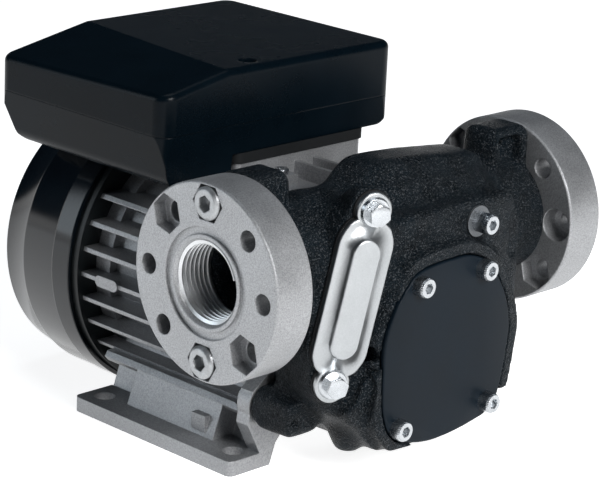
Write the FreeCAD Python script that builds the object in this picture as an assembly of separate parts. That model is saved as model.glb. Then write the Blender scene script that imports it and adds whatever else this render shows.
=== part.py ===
import FreeCAD, Part
import os
from math import cos, pi, radians, sin, sqrt

# Self-priming vane transfer pump on a fan-cooled motor. Everything is in millimetres.
# X runs across the pump from the inlet flange to the outlet flange, Y from the pump cover back to the
# fan, Z up from the surface that the feet stand on. Y is measured here from the axis of the two ports,
# and write() moves each piece so that the origin is the centre of the four foot holes.

V = FreeCAD.Vector

# Feet and motor housing
foot_hole_x = 117.0
foot_hole_y = 80.0
foot_hole_r = 4.5
foot_centre_y = 58.5
foot_outer_x = 68.5
foot_plate_w = 21.5
foot_plate_t = 6.5
foot_length = 97.0
bolt_pocket_w = 27.0
motor_z = 57.0
housing_front = 10.0
housing_rear = 116.0
stator_r = 42.0
barrel_wall = 4.0
barrel_r = stator_r + barrel_wall
shoulder_h = 4.0
shoulder_l = 9.0
front_wall_t = 8.0
front_flange_r = barrel_r + shoulder_h
front_flange_t = 7.0
fin_h = 12.0
fin_tip_r = barrel_r + fin_h
fin_pitch = 11.0
fin_t = 1.9
side_fins = 4
stud_ear_r = 9.0
stud_low = (50.0, 28.0)
stud_high = (37.0, 92.0)
stud_hole_r = 2.75

# Stator and rotor
core_front = 36.0
core_rear = 92.0
core_depth = 16.5
rotor_core_r = stator_r - core_depth
air_gap = 0.5
coil_count = 12
coil_r = 2.6
coil_inset = 2.0
coil_pitch_r = (rotor_core_r + air_gap + stator_r) / 2 - coil_inset
winding_overhang = 12.0

# Shaft and bearings
seal_journal_r = 7.5
pump_journal_r = 6.0
core_journal_r = 9.0
fan_journal_r = 5.5
front_bearing = {"bore": 7.5, "outer": 17.5, "width": 11.0, "at": 12.0, "ball": 3.0}
rear_bearing = {"bore": 6.0, "outer": 16.0, "width": 10.0, "at": 107.0, "ball": 2.9}
bearing_balls = 7
ball_clearance = 0.3
ring_share = 0.26
running_clearance = 0.05
seat_clearance = 0.02
seal_r = 14.0
seal_w = 7.0

# Rear shield, fan and fan cover
shield_t = 6.0
shield_clearance = 0.1
shield_screw_r = 2.0
cover_over_fins = 4.5
cover_r = fin_tip_r + cover_over_fins
cover_wall = 2.0
cover_front = 120.0
cover_step = cover_front + 11.0
cover_step_h = 0.5
cover_rear = 167.0
cover_cone = cover_rear - 16.0
cover_taper = 3.5
cover_rear_r = cover_r - cover_taper
cover_ground_gap = 0.6
grille_slots = 24
cover_screw_angles = (40.0, 320.0)
cover_screw_y = cover_front + 6.0
fan_gap = 10.5
fan_r = cover_r - cover_wall - fan_gap
fan_hub_r = 12.0
fan_blades = 8
fan_front = 131.0
fan_depth = 17.0

# Ports and flanges, for a one inch pipe thread of 33.25 major diameter
port_z = 90.5
flange_r = 40.0
flange_t = 19.0
flange_span = 191.0
thread_r = 16.6
flange_pcd = 64.0
flange_hole_r = 4.2
pocket_af = 14.0
pocket_depth = 6.0
counterbore_r = 7.0
counterbore_depth = 8.0
face_groove_in = 19.3
face_groove_out = 22.35
face_groove_depth = 1.2
flange_screw_r = 4.0
flange_screw_l = 15.0
pan_head_r = 6.6
pan_head_h = 5.6
neck_r = 26.0
crown_r = 30.0
crown_z = 88.0
chamber_r = 15.0
chamber_end = 50.0
tunnel_r = 9.5
tunnel_y = -5.0
tunnel_z = 92.0
ring_seal_in = 18.0
ring_seal_out = 20.5
ring_seal_t = 2.0
lug_l = 21.0

# Vane pump
body_front = -35.0
chamber_back = -13.0
pump_chamber_r = 23.5
eccentricity = 2.0
pump_rotor_r = 21.0
vane_count = 5
vane_t = 3.0
vane_slot_root_r = 9.5
vane_length = 11.0
vane_first_angle = 90.0
key_w = 4.0
key_h = 4.0
key_l = 16.0
key_bottom = 3.8
axial_clearance = 0.1

# Pump cover and its screws
cover_plate_t = 5.0
cover_half_w = 37.0
cover_top_z = 91.5
cover_bottom_z = 15.5
cover_screw_top = (19.0, 86.0)
cover_screw_low = (26.5, 27.0)
cap_head_r = 4.25
cap_head_h = 7.5
cap_shank_r = 2.5
cap_shank_l = 14.0
rim_gap = 0.8
rim_w = 4.5
rim_h = 2.2
seal_groove_in = 28.6
seal_groove_out = 30.8
seal_groove_depth = 1.8
vent_x = 22.0
vent_z = 103.0
washer_r = 6.5
washer_t = 1.2

# Filter cover, on a face turned towards the inlet and leaning with the body's left side
filter_x = -45.7
filter_y = -29.8
filter_z = 82.4
filter_turn = 22.0
filter_lean = 13.0
filter_screw_gap = 75.5
filter_w = 27.0
filter_ear_r = 6.8
filter_plate_t = 2.6
filter_panel_w = 14.0
filter_panel_l = 53.0
filter_panel_h = 2.4
filter_gasket_t = 1.0
filter_pocket_w = 15.0
filter_pocket_l = 50.0
filter_pocket_depth = 20.0
filter_boss_depth = 26.0
filter_boss_margin = 1.5
screen_t = 0.8
screen_depth = 15.0
hex_flange_r = 6.2
hex_flange_t = 1.4
hex_head_af = 8.0
hex_head_h = 5.6

# Bypass valve
seat_x = 4.0
seat_bore_r = 5.0
carrier_wall = 1.8
carrier_l = 34.0
spider_t = 3.0
stem_r = 2.0
stem_out = 6.0
poppet_r = 6.6
poppet_t = 3.0
spring_r = 4.6
spring_wire_r = 0.6
spring_turns = 6

# Terminal box: its shallow floor lies a little below the top of the fan cover, on the pedestal
box_x0 = -67.0
box_x1 = 67.5
box_y0 = 57.0
box_rear_gap = 4.0
box_y1 = cover_rear - box_rear_gap
box_sink = 2.0
shallow_z = motor_z + cover_r - box_sink
deep_drop = 9.5
deep_z = shallow_z - deep_drop
base_h = 12.9
seam_z = shallow_z + base_h
lid_h = 23.8
lid_top_z = seam_z + lid_h
lid_fall = 6.8
lid_break_x = -32.0
lid_break_turn = 7.0
lid_edge_r = 3.0
box_corner_r = 7.0
box_wall = 2.5
deep_x1 = -27.0
box_side_taper = 5.0
box_rear_taper = 8.0
relief_gap = 1.0
box_gasket_t = 4.5
pedestal_top = shallow_z - box_gasket_t
top_fin_z = pedestal_top - 4.0
pedestal_x0 = -24.0
pedestal_x1 = 51.0
pedestal_y0 = 58.5
pedestal_y1 = 112.0
wire_hole_r = 12.0
box_screw_r = 2.0
box_screw_inset_x = 20.0
box_screw_inset_y = 8.0
lid_screw_x = -13.0
lid_screw_y = 66.0
lid_screw_r = 2.0
lid_head_r = 3.6
lid_head_h = 2.6
lid_screw_sink = 11.2
lid_screw_seat_z = lid_top_z - lid_screw_sink
gasket_h = 1.0
capacitor_r = 14.0
capacitor_l = 62.0
capacitor_y = 70.0
clip_at = 22.0
clip_w = 16.0
terminal_w = 15.0
terminal_ways = 6
terminal_pitch = 9.0
terminal_low_h = 8.0
terminal_h = 13.0
gland_x = -46.0
gland_drop = 9.4
gland_z = seam_z - gland_drop
gland_inside = box_y1 - 13.5
gland_boss_r = 9.0
gland_thread_r = 7.0
gland_cable_r = 4.0
gland_af = 17.0
earth_screw_r = 2.0
earth_x = -3.5
earth_y = 53.0
earth_drop = 6.0
earth_z = pedestal_top - earth_drop


# Shape helpers

def box(x0, x1, y0, y1, z0, z1):
    return Part.makeBox(x1 - x0, y1 - y0, z1 - z0, V(x0, y0, z0))


def rod_x(r, x0, x1, y=0.0, z=port_z):
    return Part.makeCylinder(r, x1 - x0, V(x0, y, z), V(1, 0, 0))


def rod_y(r, y0, y1, x=0.0, z=motor_z):
    return Part.makeCylinder(r, y1 - y0, V(x, y0, z), V(0, 1, 0))


def rod_z(r, z0, z1, x, y):
    return Part.makeCylinder(r, z1 - z0, V(x, y, z0), V(0, 0, 1))


def ring_y(r_out, r_in, y0, y1, x=0.0, z=motor_z):
    return rod_y(r_out, y0, y1, x, z).cut(rod_y(r_in, y0 - 1, y1 + 1, x, z))


def prism_y(points, y0, y1):
    """An outline of (x, z) points pushed along Y from y0 to y1."""
    corners = [V(x, y0, z) for x, z in points]
    return Part.Face(Part.makePolygon(corners + corners[:1])).extrude(V(0, y1 - y0, 0))


def prism_x(points, x0, x1):
    """An outline of (y, z) points pushed along X from x0 to x1."""
    corners = [V(x0, y, z) for y, z in points]
    return Part.Face(Part.makePolygon(corners + corners[:1])).extrude(V(x1 - x0, 0, 0))


def turned(points):
    """A profile of (radius, z) points turned round the Z axis."""
    corners = [V(r, 0, z) for r, z in points]
    return Part.Face(Part.makePolygon(corners + corners[:1])).revolve(V(0, 0, 0), V(0, 0, 1), 360)


def turned_y(points, x=0.0, z=motor_z):
    """A profile of (radius, y) points turned round the Y axis at x, z."""
    corners = [V(x + r, y, z) for r, y in points]
    return Part.Face(Part.makePolygon(corners + corners[:1])).revolve(V(x, 0, z), V(0, 1, 0), 360)


def hexagon(across_flats, depth):
    """A hexagonal prism on the Z axis, from z = 0 to depth, with corners on the X axis."""
    r = across_flats / sqrt(3)
    corners = [V(r * cos(k * pi / 3), r * sin(k * pi / 3), 0) for k in range(6)]
    return Part.Face(Part.makePolygon(corners + corners[:1])).extrude(V(0, 0, depth))


def obround(width, length, depth):
    """A slot shape on the Z axis, long along X, from z = 0 to depth."""
    half = (length - width) / 2
    middle = Part.makeBox(2 * half, width, depth, V(-half, -width / 2, 0))
    ends = [Part.makeCylinder(width / 2, depth, V(side * half, 0, 0)) for side in (-1, 1)]
    return middle.fuse(ends).removeSplitter()


def place(shape, base, direction, roll=0.0):
    """Turns a shape built on +Z so that it points along direction, with its zero at base."""
    turn = FreeCAD.Rotation(V(0, 0, 1), direction).multiply(FreeCAD.Rotation(V(0, 0, 1), roll))
    moved = shape.copy()
    moved.Placement = FreeCAD.Placement(base, turn).multiply(moved.Placement)
    return moved


def place_on(shape, base, x_axis, y_axis):
    """Moves a shape built at the origin so that its X and Y lie along two given directions at base."""
    x, y = x_axis, y_axis
    z = x.cross(y)
    turn = FreeCAD.Matrix(x.x, y.x, z.x, 0, x.y, y.y, z.y, 0, x.z, y.z, z.z, 0, 0, 0, 0, 1)
    moved = shape.copy()
    moved.Placement = FreeCAD.Placement(base, FreeCAD.Placement(turn).Rotation)
    return moved


def half_turn(shape):
    """The same shape on the pump's other end."""
    moved = shape.copy()
    moved.rotate(V(0, 0, 0), V(0, 0, 1), 180)
    return moved


def lines_along(shape, direction, keep=lambda edge: True):
    """The straight edges of a shape that run along a direction."""
    found = []
    for edge in shape.Edges:
        straight = isinstance(edge.Curve, Part.Line)
        if straight and edge.tangentAt(edge.FirstParameter).cross(direction).Length < 1e-6 and keep(edge):
            found.append(edge)
    return found


def round_lines(shape, radius, direction, keep=lambda edge: True):
    return shape.makeFillet(radius, lines_along(shape, direction, keep))


def round_face_rim(shape, radius, on_face):
    """Rounds the edges for which on_face is true."""
    return shape.makeFillet(radius, [edge for edge in shape.Edges if on_face(edge)])


def group(pieces):
    return Part.makeCompound(pieces)


def cap_screw(head_r, head_h, shank_r, shank_l):
    """A cylinder head screw: the head stands on z = 0 and the shank goes down."""
    profile = [(0, -shank_l), (shank_r, -shank_l), (shank_r, 0), (head_r, 0), (head_r, head_h - 0.5),
               (head_r - 0.5, head_h), (0, head_h)]
    socket = hexagon(head_r * 0.95, head_h)
    socket.translate(V(0, 0, head_h * 0.55))
    return turned(profile).cut(socket)


# The pump cover's outline, and the places of the screws

def cover_outline(grow=0.0):
    """The egg-shaped edge of the pump cover in XZ, at y = 0, grown outwards by an amount."""
    c = eccentricity
    w = cover_half_w
    top = cover_top_z
    low = cover_bottom_z
    half = [V(c, 0, top), V(c + 12, 0, top - 0.3), V(c + 21, 0, top - 1.5),
            V(c + 25.5, 0, top - 3.6), V(c + 28, 0, top - 8.5),
            V(c + w, 0, motor_z - 5), V(c + w - 3, 0, motor_z - 27),
            V(c + w - 6.5, 0, low + 6.5), V(c + w - 13.5, 0, low + 2.8),
            V(c + 13, 0, low + 0.7), V(c, 0, low)]
    mirrored = [V(2 * c - p.x, 0, p.z) for p in reversed(half)]
    arcs = []
    for side in (half, mirrored):
        for k in range(0, 10, 2):
            arcs.append(Part.Arc(side[k], side[k + 1], side[k + 2]).toShape())
    wire = Part.Wire(arcs)
    if grow:
        wire = wire.makeOffset2D(grow, 0, False, False)
    return wire


def cover_prism(grow, y0, y1):
    wire = cover_outline(grow)
    wire.translate(V(0, y0, 0))
    return Part.Face(wire).extrude(V(0, y1 - y0, 0))


def cover_screw_points():
    (top_x, top_z), (low_x, low_z) = cover_screw_top, cover_screw_low
    c = eccentricity
    return [(c - top_x, top_z), (c + top_x, top_z), (c + low_x, low_z), (c - low_x, low_z)]


def body_screw_points():
    (low_x, low_z), (high_x, high_z) = stud_low, stud_high
    return [(-low_x, low_z), (low_x, low_z), (high_x, high_z), (-high_x, high_z)]


def shield_screw_points():
    r = barrel_r + 0.5
    return [(r * cos(radians(a)), motor_z + r * sin(radians(a))) for a in (38, 142, 218, 322)]


def box_screw_points():
    return [(x, y) for x in (pedestal_x0 + box_screw_inset_x, pedestal_x1 - box_screw_inset_x)
            for y in (pedestal_y0 + box_screw_inset_y, pedestal_y1 - box_screw_inset_y)]


def foot_hole_points():
    return [(x, foot_centre_y + y) for x in (-foot_hole_x / 2, foot_hole_x / 2)
            for y in (-foot_hole_y / 2, foot_hole_y / 2)]


def wire_hole(z0, z1):
    return rod_z(wire_hole_r, z0, z1, (pedestal_x0 + pedestal_x1) / 2, (pedestal_y0 + pedestal_y1) / 2)


# Motor housing: one aluminium casting with its fins, feet and the pedestal of the terminal box

def side_fin_set():
    y0 = housing_front + front_flange_t
    envelope = rod_y(fin_tip_r, y0, housing_rear)
    fins = []
    for k in range(-side_fins, side_fins + 1):
        z = motor_z + k * fin_pitch
        fins.append(box(-fin_tip_r, fin_tip_r, y0, housing_rear, z - fin_t / 2, z + fin_t / 2))
    for k in (1, 2, 3):
        x = k * fin_pitch
        fins.append(box(x - fin_t / 2, x + fin_t / 2, y0, pedestal_y0, motor_z + 30, top_fin_z))
    return fins[0].fuse(fins[1:]).common(envelope)


def foot_side(side):
    """One foot: its plate, the leaning wall up to the barrel and the gusset between the bolt pockets."""
    y0 = foot_centre_y - foot_length / 2
    y1 = y0 + foot_length
    inner = foot_outer_x - foot_plate_w
    top = foot_plate_t
    plate = box(inner, foot_outer_x, y0, y1, 0, top)
    plate = round_lines(plate, 3.0, V(0, 0, 1), lambda e: e.CenterOfMass.x > inner + 1)
    root = barrel_r - 16
    wall = prism_y([(inner + 3, 0), (inner - 1, top), (root + 9, 27), (root, 27), (root + 4, 20), (43, 9),
                    (inner - 1, 0)], y0, y1)
    reach = foot_hole_y / 2 - bolt_pocket_w / 2
    gusset = prism_y([(58, top - 1), (52, 22), (42, 24), (44, top - 1)],
                     foot_centre_y - reach, foot_centre_y + reach)
    ledge = prism_y([(34, 19), (50.5, 19), (52.5, 21.2), (51, 23.6), (34, 24.5)], y0 + 3, y1 - 1)
    foot = plate.fuse([wall, gusset, ledge])
    if side < 0:
        foot = foot.mirror(V(0, 0, 0), V(1, 0, 0))
    return foot


def make_motor_housing():
    flange_back = housing_front + front_flange_t
    barrel = rod_y(barrel_r, housing_front, housing_rear)
    shoulder = rod_y(barrel_r + shoulder_h, housing_rear - shoulder_l, housing_rear)
    flange = rod_y(front_flange_r, housing_front, flange_back)
    ears = [rod_y(stud_ear_r, housing_front, flange_back, x, z) for x, z in body_screw_points()]
    webs = [prism_y([(side * 36, 50), (side * 57, 34), (side * 59, 20), (side * 50, 3),
                     (side * 43, 9), (side * 30, 24)], housing_front, flange_back) for side in (-1, 1)]
    pedestal = box(pedestal_x0, pedestal_x1, pedestal_y0, pedestal_y1, motor_z + 10, pedestal_top)
    pedestal = round_lines(pedestal, 3.0, V(0, 0, 1))
    earth_boss = box(earth_x - 5.5, earth_x + 5.5, earth_y - 5, pedestal_y0 + 1, motor_z + 36, earth_z)
    pad = place(obround(5, 14, 3), V(-fin_tip_r + 2, 99, motor_z), V(-1, 0, 0), 90)
    nut_boss = box(-57.5, -50, foot_centre_y - 21.5, foot_centre_y - 13.5, 8.5, 15.5)
    solid = barrel.fuse([shoulder, flange, side_fin_set(), pedestal, earth_boss, pad, nut_boss,
                         foot_side(-1), foot_side(1)] + ears + webs)
    bore_front = housing_front + front_wall_t
    seat = front_bearing
    seat_end = seat["at"] + seat["width"]
    solid = solid.cut(rod_y(stator_r, bore_front, housing_rear + 1))
    solid = solid.fuse(rod_y(seat["outer"] + 5, bore_front - 1, seat_end + 1))
    drillings = [rod_y(seat["outer"] + seat_clearance, seat["at"], seat_end + 2),
                 rod_y(seal_journal_r + 3, housing_front - 1, seat["at"] + 1),
                 wire_hole(motor_z + 30, shallow_z),
                 rod_z(earth_screw_r, earth_z - 8, earth_z + 1, earth_x, earth_y)]
    drillings += [rod_z(foot_hole_r, -1, foot_plate_t + 1, x, y) for x, y in foot_hole_points()]
    drillings += [rod_y(stud_hole_r, housing_front - 1, flange_back + 1, x, z)
                  for x, z in body_screw_points()]
    drillings += [rod_y(cap_head_r + 0.6, flange_back, flange_back + 9, x, z) for x, z in body_screw_points()]
    drillings += [rod_y(shield_screw_r, housing_rear - 14, housing_rear + 1, x, z)
                  for x, z in shield_screw_points()]
    drillings += [rod_z(box_screw_r, pedestal_top - 10, shallow_z, x, y) for x, y in box_screw_points()]
    return solid.cut(drillings).removeSplitter()


def make_stator_core():
    core = ring_y(stator_r, rotor_core_r + air_gap, core_front, core_rear)
    slots = [rod_y(coil_r + seat_clearance, core_front - 1, core_rear + 1, x, z) for x, z in coil_points()]
    return core.cut(slots)


def coil_points():
    step = 2 * pi / coil_count
    return [(coil_pitch_r * cos(k * step), motor_z + coil_pitch_r * sin(k * step)) for k in range(coil_count)]


def make_stator_windings():
    wide = coil_pitch_r + 5.5
    tight = coil_pitch_r - 4.5
    front = ring_y(wide, tight, core_front - winding_overhang, core_front)
    rear = ring_y(wide, tight, core_rear, core_rear + winding_overhang)
    front = round_face_rim(front, 3.0, lambda e: e.BoundBox.YMax < core_front - winding_overhang + 0.01)
    rear = round_face_rim(rear, 3.0, lambda e: e.BoundBox.YMin > core_rear + winding_overhang - 0.01)
    bars = [rod_y(coil_r, core_front - 0.5, core_rear + 0.5, x, z) for x, z in coil_points()]
    return front.fuse([rear] + bars).removeSplitter()


# Shaft, rotor core and bearings

def make_motor_shaft():
    pump_end = body_front + 2
    seal_start = chamber_back + 1
    seal_end = front_bearing["at"] + front_bearing["width"]
    rear_end = rear_bearing["at"] + rear_bearing["width"]
    fan_end = fan_front + fan_depth + 5
    shaft = turned_y([(0, pump_end), (pump_journal_r - 0.6, pump_end), (pump_journal_r, pump_end + 0.6),
                      (pump_journal_r, seal_start), (seal_journal_r, seal_start), (seal_journal_r, seal_end),
                      (core_journal_r, seal_end), (core_journal_r, rear_bearing["at"]),
                      (rear_bearing["bore"], rear_bearing["at"]), (rear_bearing["bore"], rear_end),
                      (fan_journal_r, rear_end), (fan_journal_r, fan_end), (0, fan_end)])
    return shaft.cut(key_block(seat_clearance))


def key_block(clearance=0.0):
    c = clearance
    middle = (body_front + chamber_back) / 2
    return box(-key_w / 2 - c, key_w / 2 + c, middle - key_l / 2 - c, middle + key_l / 2 + c,
               motor_z + key_bottom - c, motor_z + key_bottom + key_h + c)


def make_rotor_core():
    core = ring_y(rotor_core_r, core_journal_r, core_front, core_rear)
    end_rings = [ring_y(rotor_core_r - 2, rotor_core_r - 9, y, y + 6) for y in (core_front - 6, core_rear)]
    return core.fuse(end_rings).removeSplitter()


def bearing_pieces(bearing):
    """The outer ring, inner ring, balls and cage of a deep groove ball bearing."""
    y0 = bearing["at"]
    y1 = y0 + bearing["width"]
    middle = (y0 + y1) / 2
    section = bearing["outer"] - bearing["bore"]
    pitch_r = (bearing["outer"] + bearing["bore"]) / 2
    groove = Part.makeTorus(pitch_r, bearing["ball"] + ball_clearance, V(0, middle, motor_z), V(0, 1, 0))
    outer = ring_y(bearing["outer"], bearing["outer"] - ring_share * section, y0, y1).cut(groove)
    inner = ring_y(bearing["bore"] + ring_share * section, bearing["bore"], y0, y1).cut(groove)
    step = 2 * pi / bearing_balls
    centres = [V(pitch_r * cos(k * step), middle, motor_z + pitch_r * sin(k * step))
               for k in range(bearing_balls)]
    balls = [Part.makeSphere(bearing["ball"], centre) for centre in centres]
    axis = V(0, middle, motor_z)
    pockets = [Part.makeCylinder(bearing["ball"] + running_clearance, 8,
                                 centre - (centre - axis) * (4 / pitch_r), centre - axis) for centre in centres]
    cage_half = bearing["ball"] + 0.8
    cage = ring_y(pitch_r + 0.9, pitch_r - 0.9, middle - cage_half, middle + cage_half)
    return outer, inner, group(balls), cage.cut(pockets)


def make_shaft_seal():
    y1 = seal_w + 2.0
    lip_r = seal_journal_r + running_clearance
    return turned_y([(lip_r, 4.0), (lip_r, 4.8), (seal_r - 3, 6.5), (seal_r - 3, y1), (seal_r, y1),
                     (seal_r, 2.0), (seal_journal_r + 1.5, 2.0), (seal_journal_r + 1.5, 3.4)])


# Rear shield, fan and fan cover

def make_rear_shield():
    seat = rear_bearing
    front = housing_rear
    back = front + shield_t
    rim_r = cover_r - cover_wall - shield_clearance
    nose = seat["at"] - 2
    shield = turned_y([(fan_journal_r + 1.5, nose), (seat["outer"] + 5, nose), (seat["outer"] + 7, front - 3),
                       (stator_r - 4, front - 3), (stator_r - seat_clearance, front - 3),
                       (stator_r - seat_clearance, front), (rim_r, front), (rim_r, back), (rim_r - 6, back),
                       (rim_r - 8, back - 2), (seat["outer"] + 6, back - 2), (seat["outer"] + 3, back + 1),
                       (fan_journal_r + 1.5, back + 1)])
    lugs = []
    for angle in cover_screw_angles:
        lug = box(rim_r - 9, rim_r, back - 1, back + 9, -5, 5)
        lug = lug.common(rod_y(rim_r, back - 2, back + 10, 0, 0))
        lug.rotate(V(0, 0, 0), V(0, 1, 0), -angle)
        lug.translate(V(0, 0, motor_z))
        lugs.append(lug)
    shield = shield.fuse(lugs)
    holes = [rod_y(seat["outer"] + seat_clearance, seat["at"], seat["at"] + seat["width"]),
             rod_y(seat["bore"] + 3, nose - 1, seat["at"] + 1)]
    holes += [rod_y(shield_screw_r + 0.2, front - 4, back + 1, x, z) for x, z in shield_screw_points()]
    holes += [cover_screw_hole(angle) for angle in cover_screw_angles]
    shield = shield.cut(holes)
    floor = box(-80, 80, front - 40, back + 40, cover_ground_gap - 40, cover_ground_gap + cover_wall)
    return shield.cut(floor).removeSplitter()


def cover_screw_place(angle, radius):
    a = radians(angle)
    return V(radius * cos(a), cover_screw_y, motor_z + radius * sin(a)), V(cos(a), 0, sin(a))


def cover_screw_hole(angle):
    base, outwards = cover_screw_place(angle, cover_r + 1)
    return Part.makeCylinder(2.0, 9, base, outwards * -1)


def make_fan_cover():
    """A thin shell turned round the motor axis, its grille slots, and the flat that clears the floor."""
    outer = [(0, cover_rear), (cover_rear_r - 3, cover_rear), (cover_rear_r, cover_rear - 1.5),
             (cover_r - cover_step_h - 1, cover_cone + 1), (cover_r - cover_step_h, cover_cone - 1),
             (cover_r - cover_step_h, cover_step), (cover_r, cover_step - 1), (cover_r, cover_front)]
    inner = [(cover_r - cover_wall, cover_front), (cover_r - cover_wall, cover_cone - 2),
             (cover_rear_r - cover_wall, cover_rear - cover_wall - 1.5),
             (cover_rear_r - 6, cover_rear - cover_wall), (0, cover_rear - cover_wall)]
    shell = turned_y(outer + inner)
    solid = turned_y(outer + [(0, cover_front)])
    inside = turned_y(inner + [(0, cover_front)])
    floor_top = cover_ground_gap + cover_wall
    floor = box(-cover_r, cover_r, cover_front, cover_rear, cover_ground_gap, floor_top)
    flat = solid.common(floor)
    flat = flat.fuse(inside.common(floor))
    shell = shell.fuse(flat)
    shell = shell.cut(box(-cover_r, cover_r, cover_front - 1, cover_rear + 1, -20, cover_ground_gap))
    cuts = []
    for k in range(grille_slots):
        bar = box(0.3 * cover_rear_r, 0.56 * cover_rear_r, cover_rear - 5, cover_rear + 1, -1.6, 1.6)
        outer_bar = box(0.61 * cover_rear_r, 0.8 * cover_rear_r, cover_rear - 5, cover_rear + 1, -2.2, 2.2)
        for slot in (bar, outer_bar):
            slot.rotate(V(0, 0, 0), V(0, 1, 0), 360.0 * k / grille_slots)
            slot.translate(V(0, 0, motor_z))
            cuts.append(slot)
    cuts += [cover_screw_hole(angle) for angle in cover_screw_angles]
    return shell.cut(cuts).removeSplitter()


def make_fan_cover_screws():
    screws = []
    for angle in cover_screw_angles:
        base, outwards = cover_screw_place(angle, cover_r)
        screws.append(place(cap_screw(3.5, 2.2, 2.0 - seat_clearance, 7), base, outwards))
    return group(screws)


def make_fan():
    y0 = fan_front
    hub = ring_y(fan_hub_r, fan_journal_r, y0, y0 + fan_depth)
    disc = ring_y(fan_r, fan_hub_r - 1, y0, y0 + 2)
    blades = []
    for k in range(fan_blades):
        blade = box(fan_hub_r - 1, fan_r - 1, y0 + 1, y0 + fan_depth - 1, -1, 1)
        blade.rotate(V(0, 0, 0), V(0, 1, 0), 360.0 * k / fan_blades)
        blade.translate(V(0, 0, motor_z))
        blades.append(blade)
    taper = turned_y([(0, y0), (fan_r, y0), (fan_r, y0 + 6), (fan_r - 12, y0 + fan_depth),
                      (0, y0 + fan_depth)])
    return hub.fuse([disc] + blades).common(taper).removeSplitter()


def make_fan_clip():
    y0 = fan_front + fan_depth
    clip = ring_y(fan_journal_r + 3, fan_journal_r, y0, y0 + 1.2)
    return clip.cut(box(-1.5, 1.5, y0 - 1, y0 + 3, motor_z, motor_z + 12))


# Terminal box

def box_plan(inset, z0, z1):
    plan = box(box_x0 + inset, box_x1 - inset, box_y0 + inset, box_y1 - inset, z0, z1)
    return round_lines(plan, box_corner_r - inset, V(0, 0, 1))


def lid_slope(inset):
    """The wedge over the lid that its slope cuts away, turned a little in plan."""
    run = 90.0
    fall = run * lid_fall / (lid_break_x - box_x0)
    top = lid_top_z - inset
    wedge = prism_y([(lid_break_x, top), (lid_break_x - run, top - fall), (lid_break_x - run, top + 20),
                     (lid_break_x, top + 20)], box_y0 - 60, box_y1 + 60)
    wedge.rotate(V(lid_break_x, box_y0, 0), V(0, 0, 1), -lid_break_turn)
    return wedge


def is_lid_break(edge):
    """The line where the lid's flat top meets its slope stays sharp."""
    middle = box_x0 + 15 < edge.CenterOfMass.x < box_x1 - 15
    return middle and edge.BoundBox.YLength > 50


def lid_form(inset, edge_r):
    """The lid's outside, or its inside when inset: flat on top, sloping down towards the inlet side."""
    form = box_plan(inset, seam_z, lid_top_z - inset).cut(lid_slope(inset))
    return round_face_rim(form, edge_r, lambda e: e.BoundBox.ZMin > seam_z + 4 and not is_lid_break(e))


def make_box_lid():
    lid = lid_form(0, lid_edge_r).cut(lid_form(box_wall, 1.0))
    x, y = lid_screw_x, lid_screw_y
    hooks = [box(hx - 4, hx + 4, box_y1 - box_wall - 2.2, box_y1 - box_wall, seam_z - 6, seam_z + 4)
             for hx in (-12, 38)]
    nub = rod_z(2.2, seam_z, seam_z + 6, box_x1 - 0.4, box_y0 + 8)
    lid = lid.fuse([rod_z(lid_head_r + 2.2, seam_z, lid_top_z - 1, x, y), nub] + hooks)
    lid = lid.cut([rod_z(lid_screw_r + 0.3, seam_z - 1, lid_top_z + 1, x, y),
                   rod_z(lid_head_r + 0.5, lid_screw_seat_z, lid_top_z + 1, x, y)])
    return lid.removeSplitter()


def base_form(inset):
    """The base's outside, or its inside when inset: a deep compartment, a shallow one beside it, and an
    arched relief over the fan cover."""
    i = inset
    x0 = box_x0 + i
    x1 = box_x1 - i
    y0 = box_y0 + i
    y1 = box_y1 - i
    deep = deep_z + i
    step = deep_x1 - i
    floor = shallow_z + i
    front = prism_y([(x0, seam_z), (x0 + box_side_taper, deep), (step, deep), (step, floor),
                     (x1 - 3, floor), (x1, seam_z)], y0, y1)
    front = round_lines(front, 7.0 - i, V(0, 1, 0), lambda e: e.CenterOfMass.z < floor + 0.01
                        and not step - 1 < e.CenterOfMass.x < step + 1)
    side = prism_x([(y0, seam_z), (y1, seam_z), (y1 - box_rear_taper, deep + 3),
                    (y1 - box_rear_taper - 5, deep), (y0 + 2, deep)], x0 - 1, x1 + 1)
    form = front.common(side).common(box_plan(i, deep, seam_z))
    return form.cut(rod_y(cover_r + relief_gap + i, cover_front - 5 - i, box_y1 + 1))


def make_box_base():
    base = base_form(0).cut(base_form(box_wall))
    hooks = [box(hx - 4.5, hx + 4.5, box_y1 - box_wall - 2.4, box_y1 - box_wall + 1.2, seam_z - 7, seam_z)
             for hx in (-12, 38)]
    boss = rod_y(gland_boss_r, gland_inside, box_y1, gland_x, gland_z)
    x, y = lid_screw_x, lid_screw_y
    base = base.fuse([boss, rod_z(4.5, shallow_z + 1, seam_z, x, y)])
    groove = box_plan(0.9, seam_z - gasket_h, seam_z + 1)
    groove = groove.cut(box_plan(box_wall - 0.4, seam_z - 3, seam_z + 2))
    cuts = [rod_y(gland_thread_r, gland_inside - 9, box_y1 + 1, gland_x, gland_z), groove,
            rod_z(lid_screw_r, shallow_z + 4, seam_z + 1, x, y),
            wire_hole(shallow_z - 1, shallow_z + box_wall + 1)] + hooks
    cuts += [rod_z(box_screw_r + 0.3, shallow_z - 1, shallow_z + box_wall + 1, px, py)
             for px, py in box_screw_points()]
    return base.cut(cuts).removeSplitter()


def make_lid_gasket():
    return box_plan(1.0, seam_z - gasket_h, seam_z).cut(box_plan(box_wall - 0.5, seam_z - 3, seam_z + 2))


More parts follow.
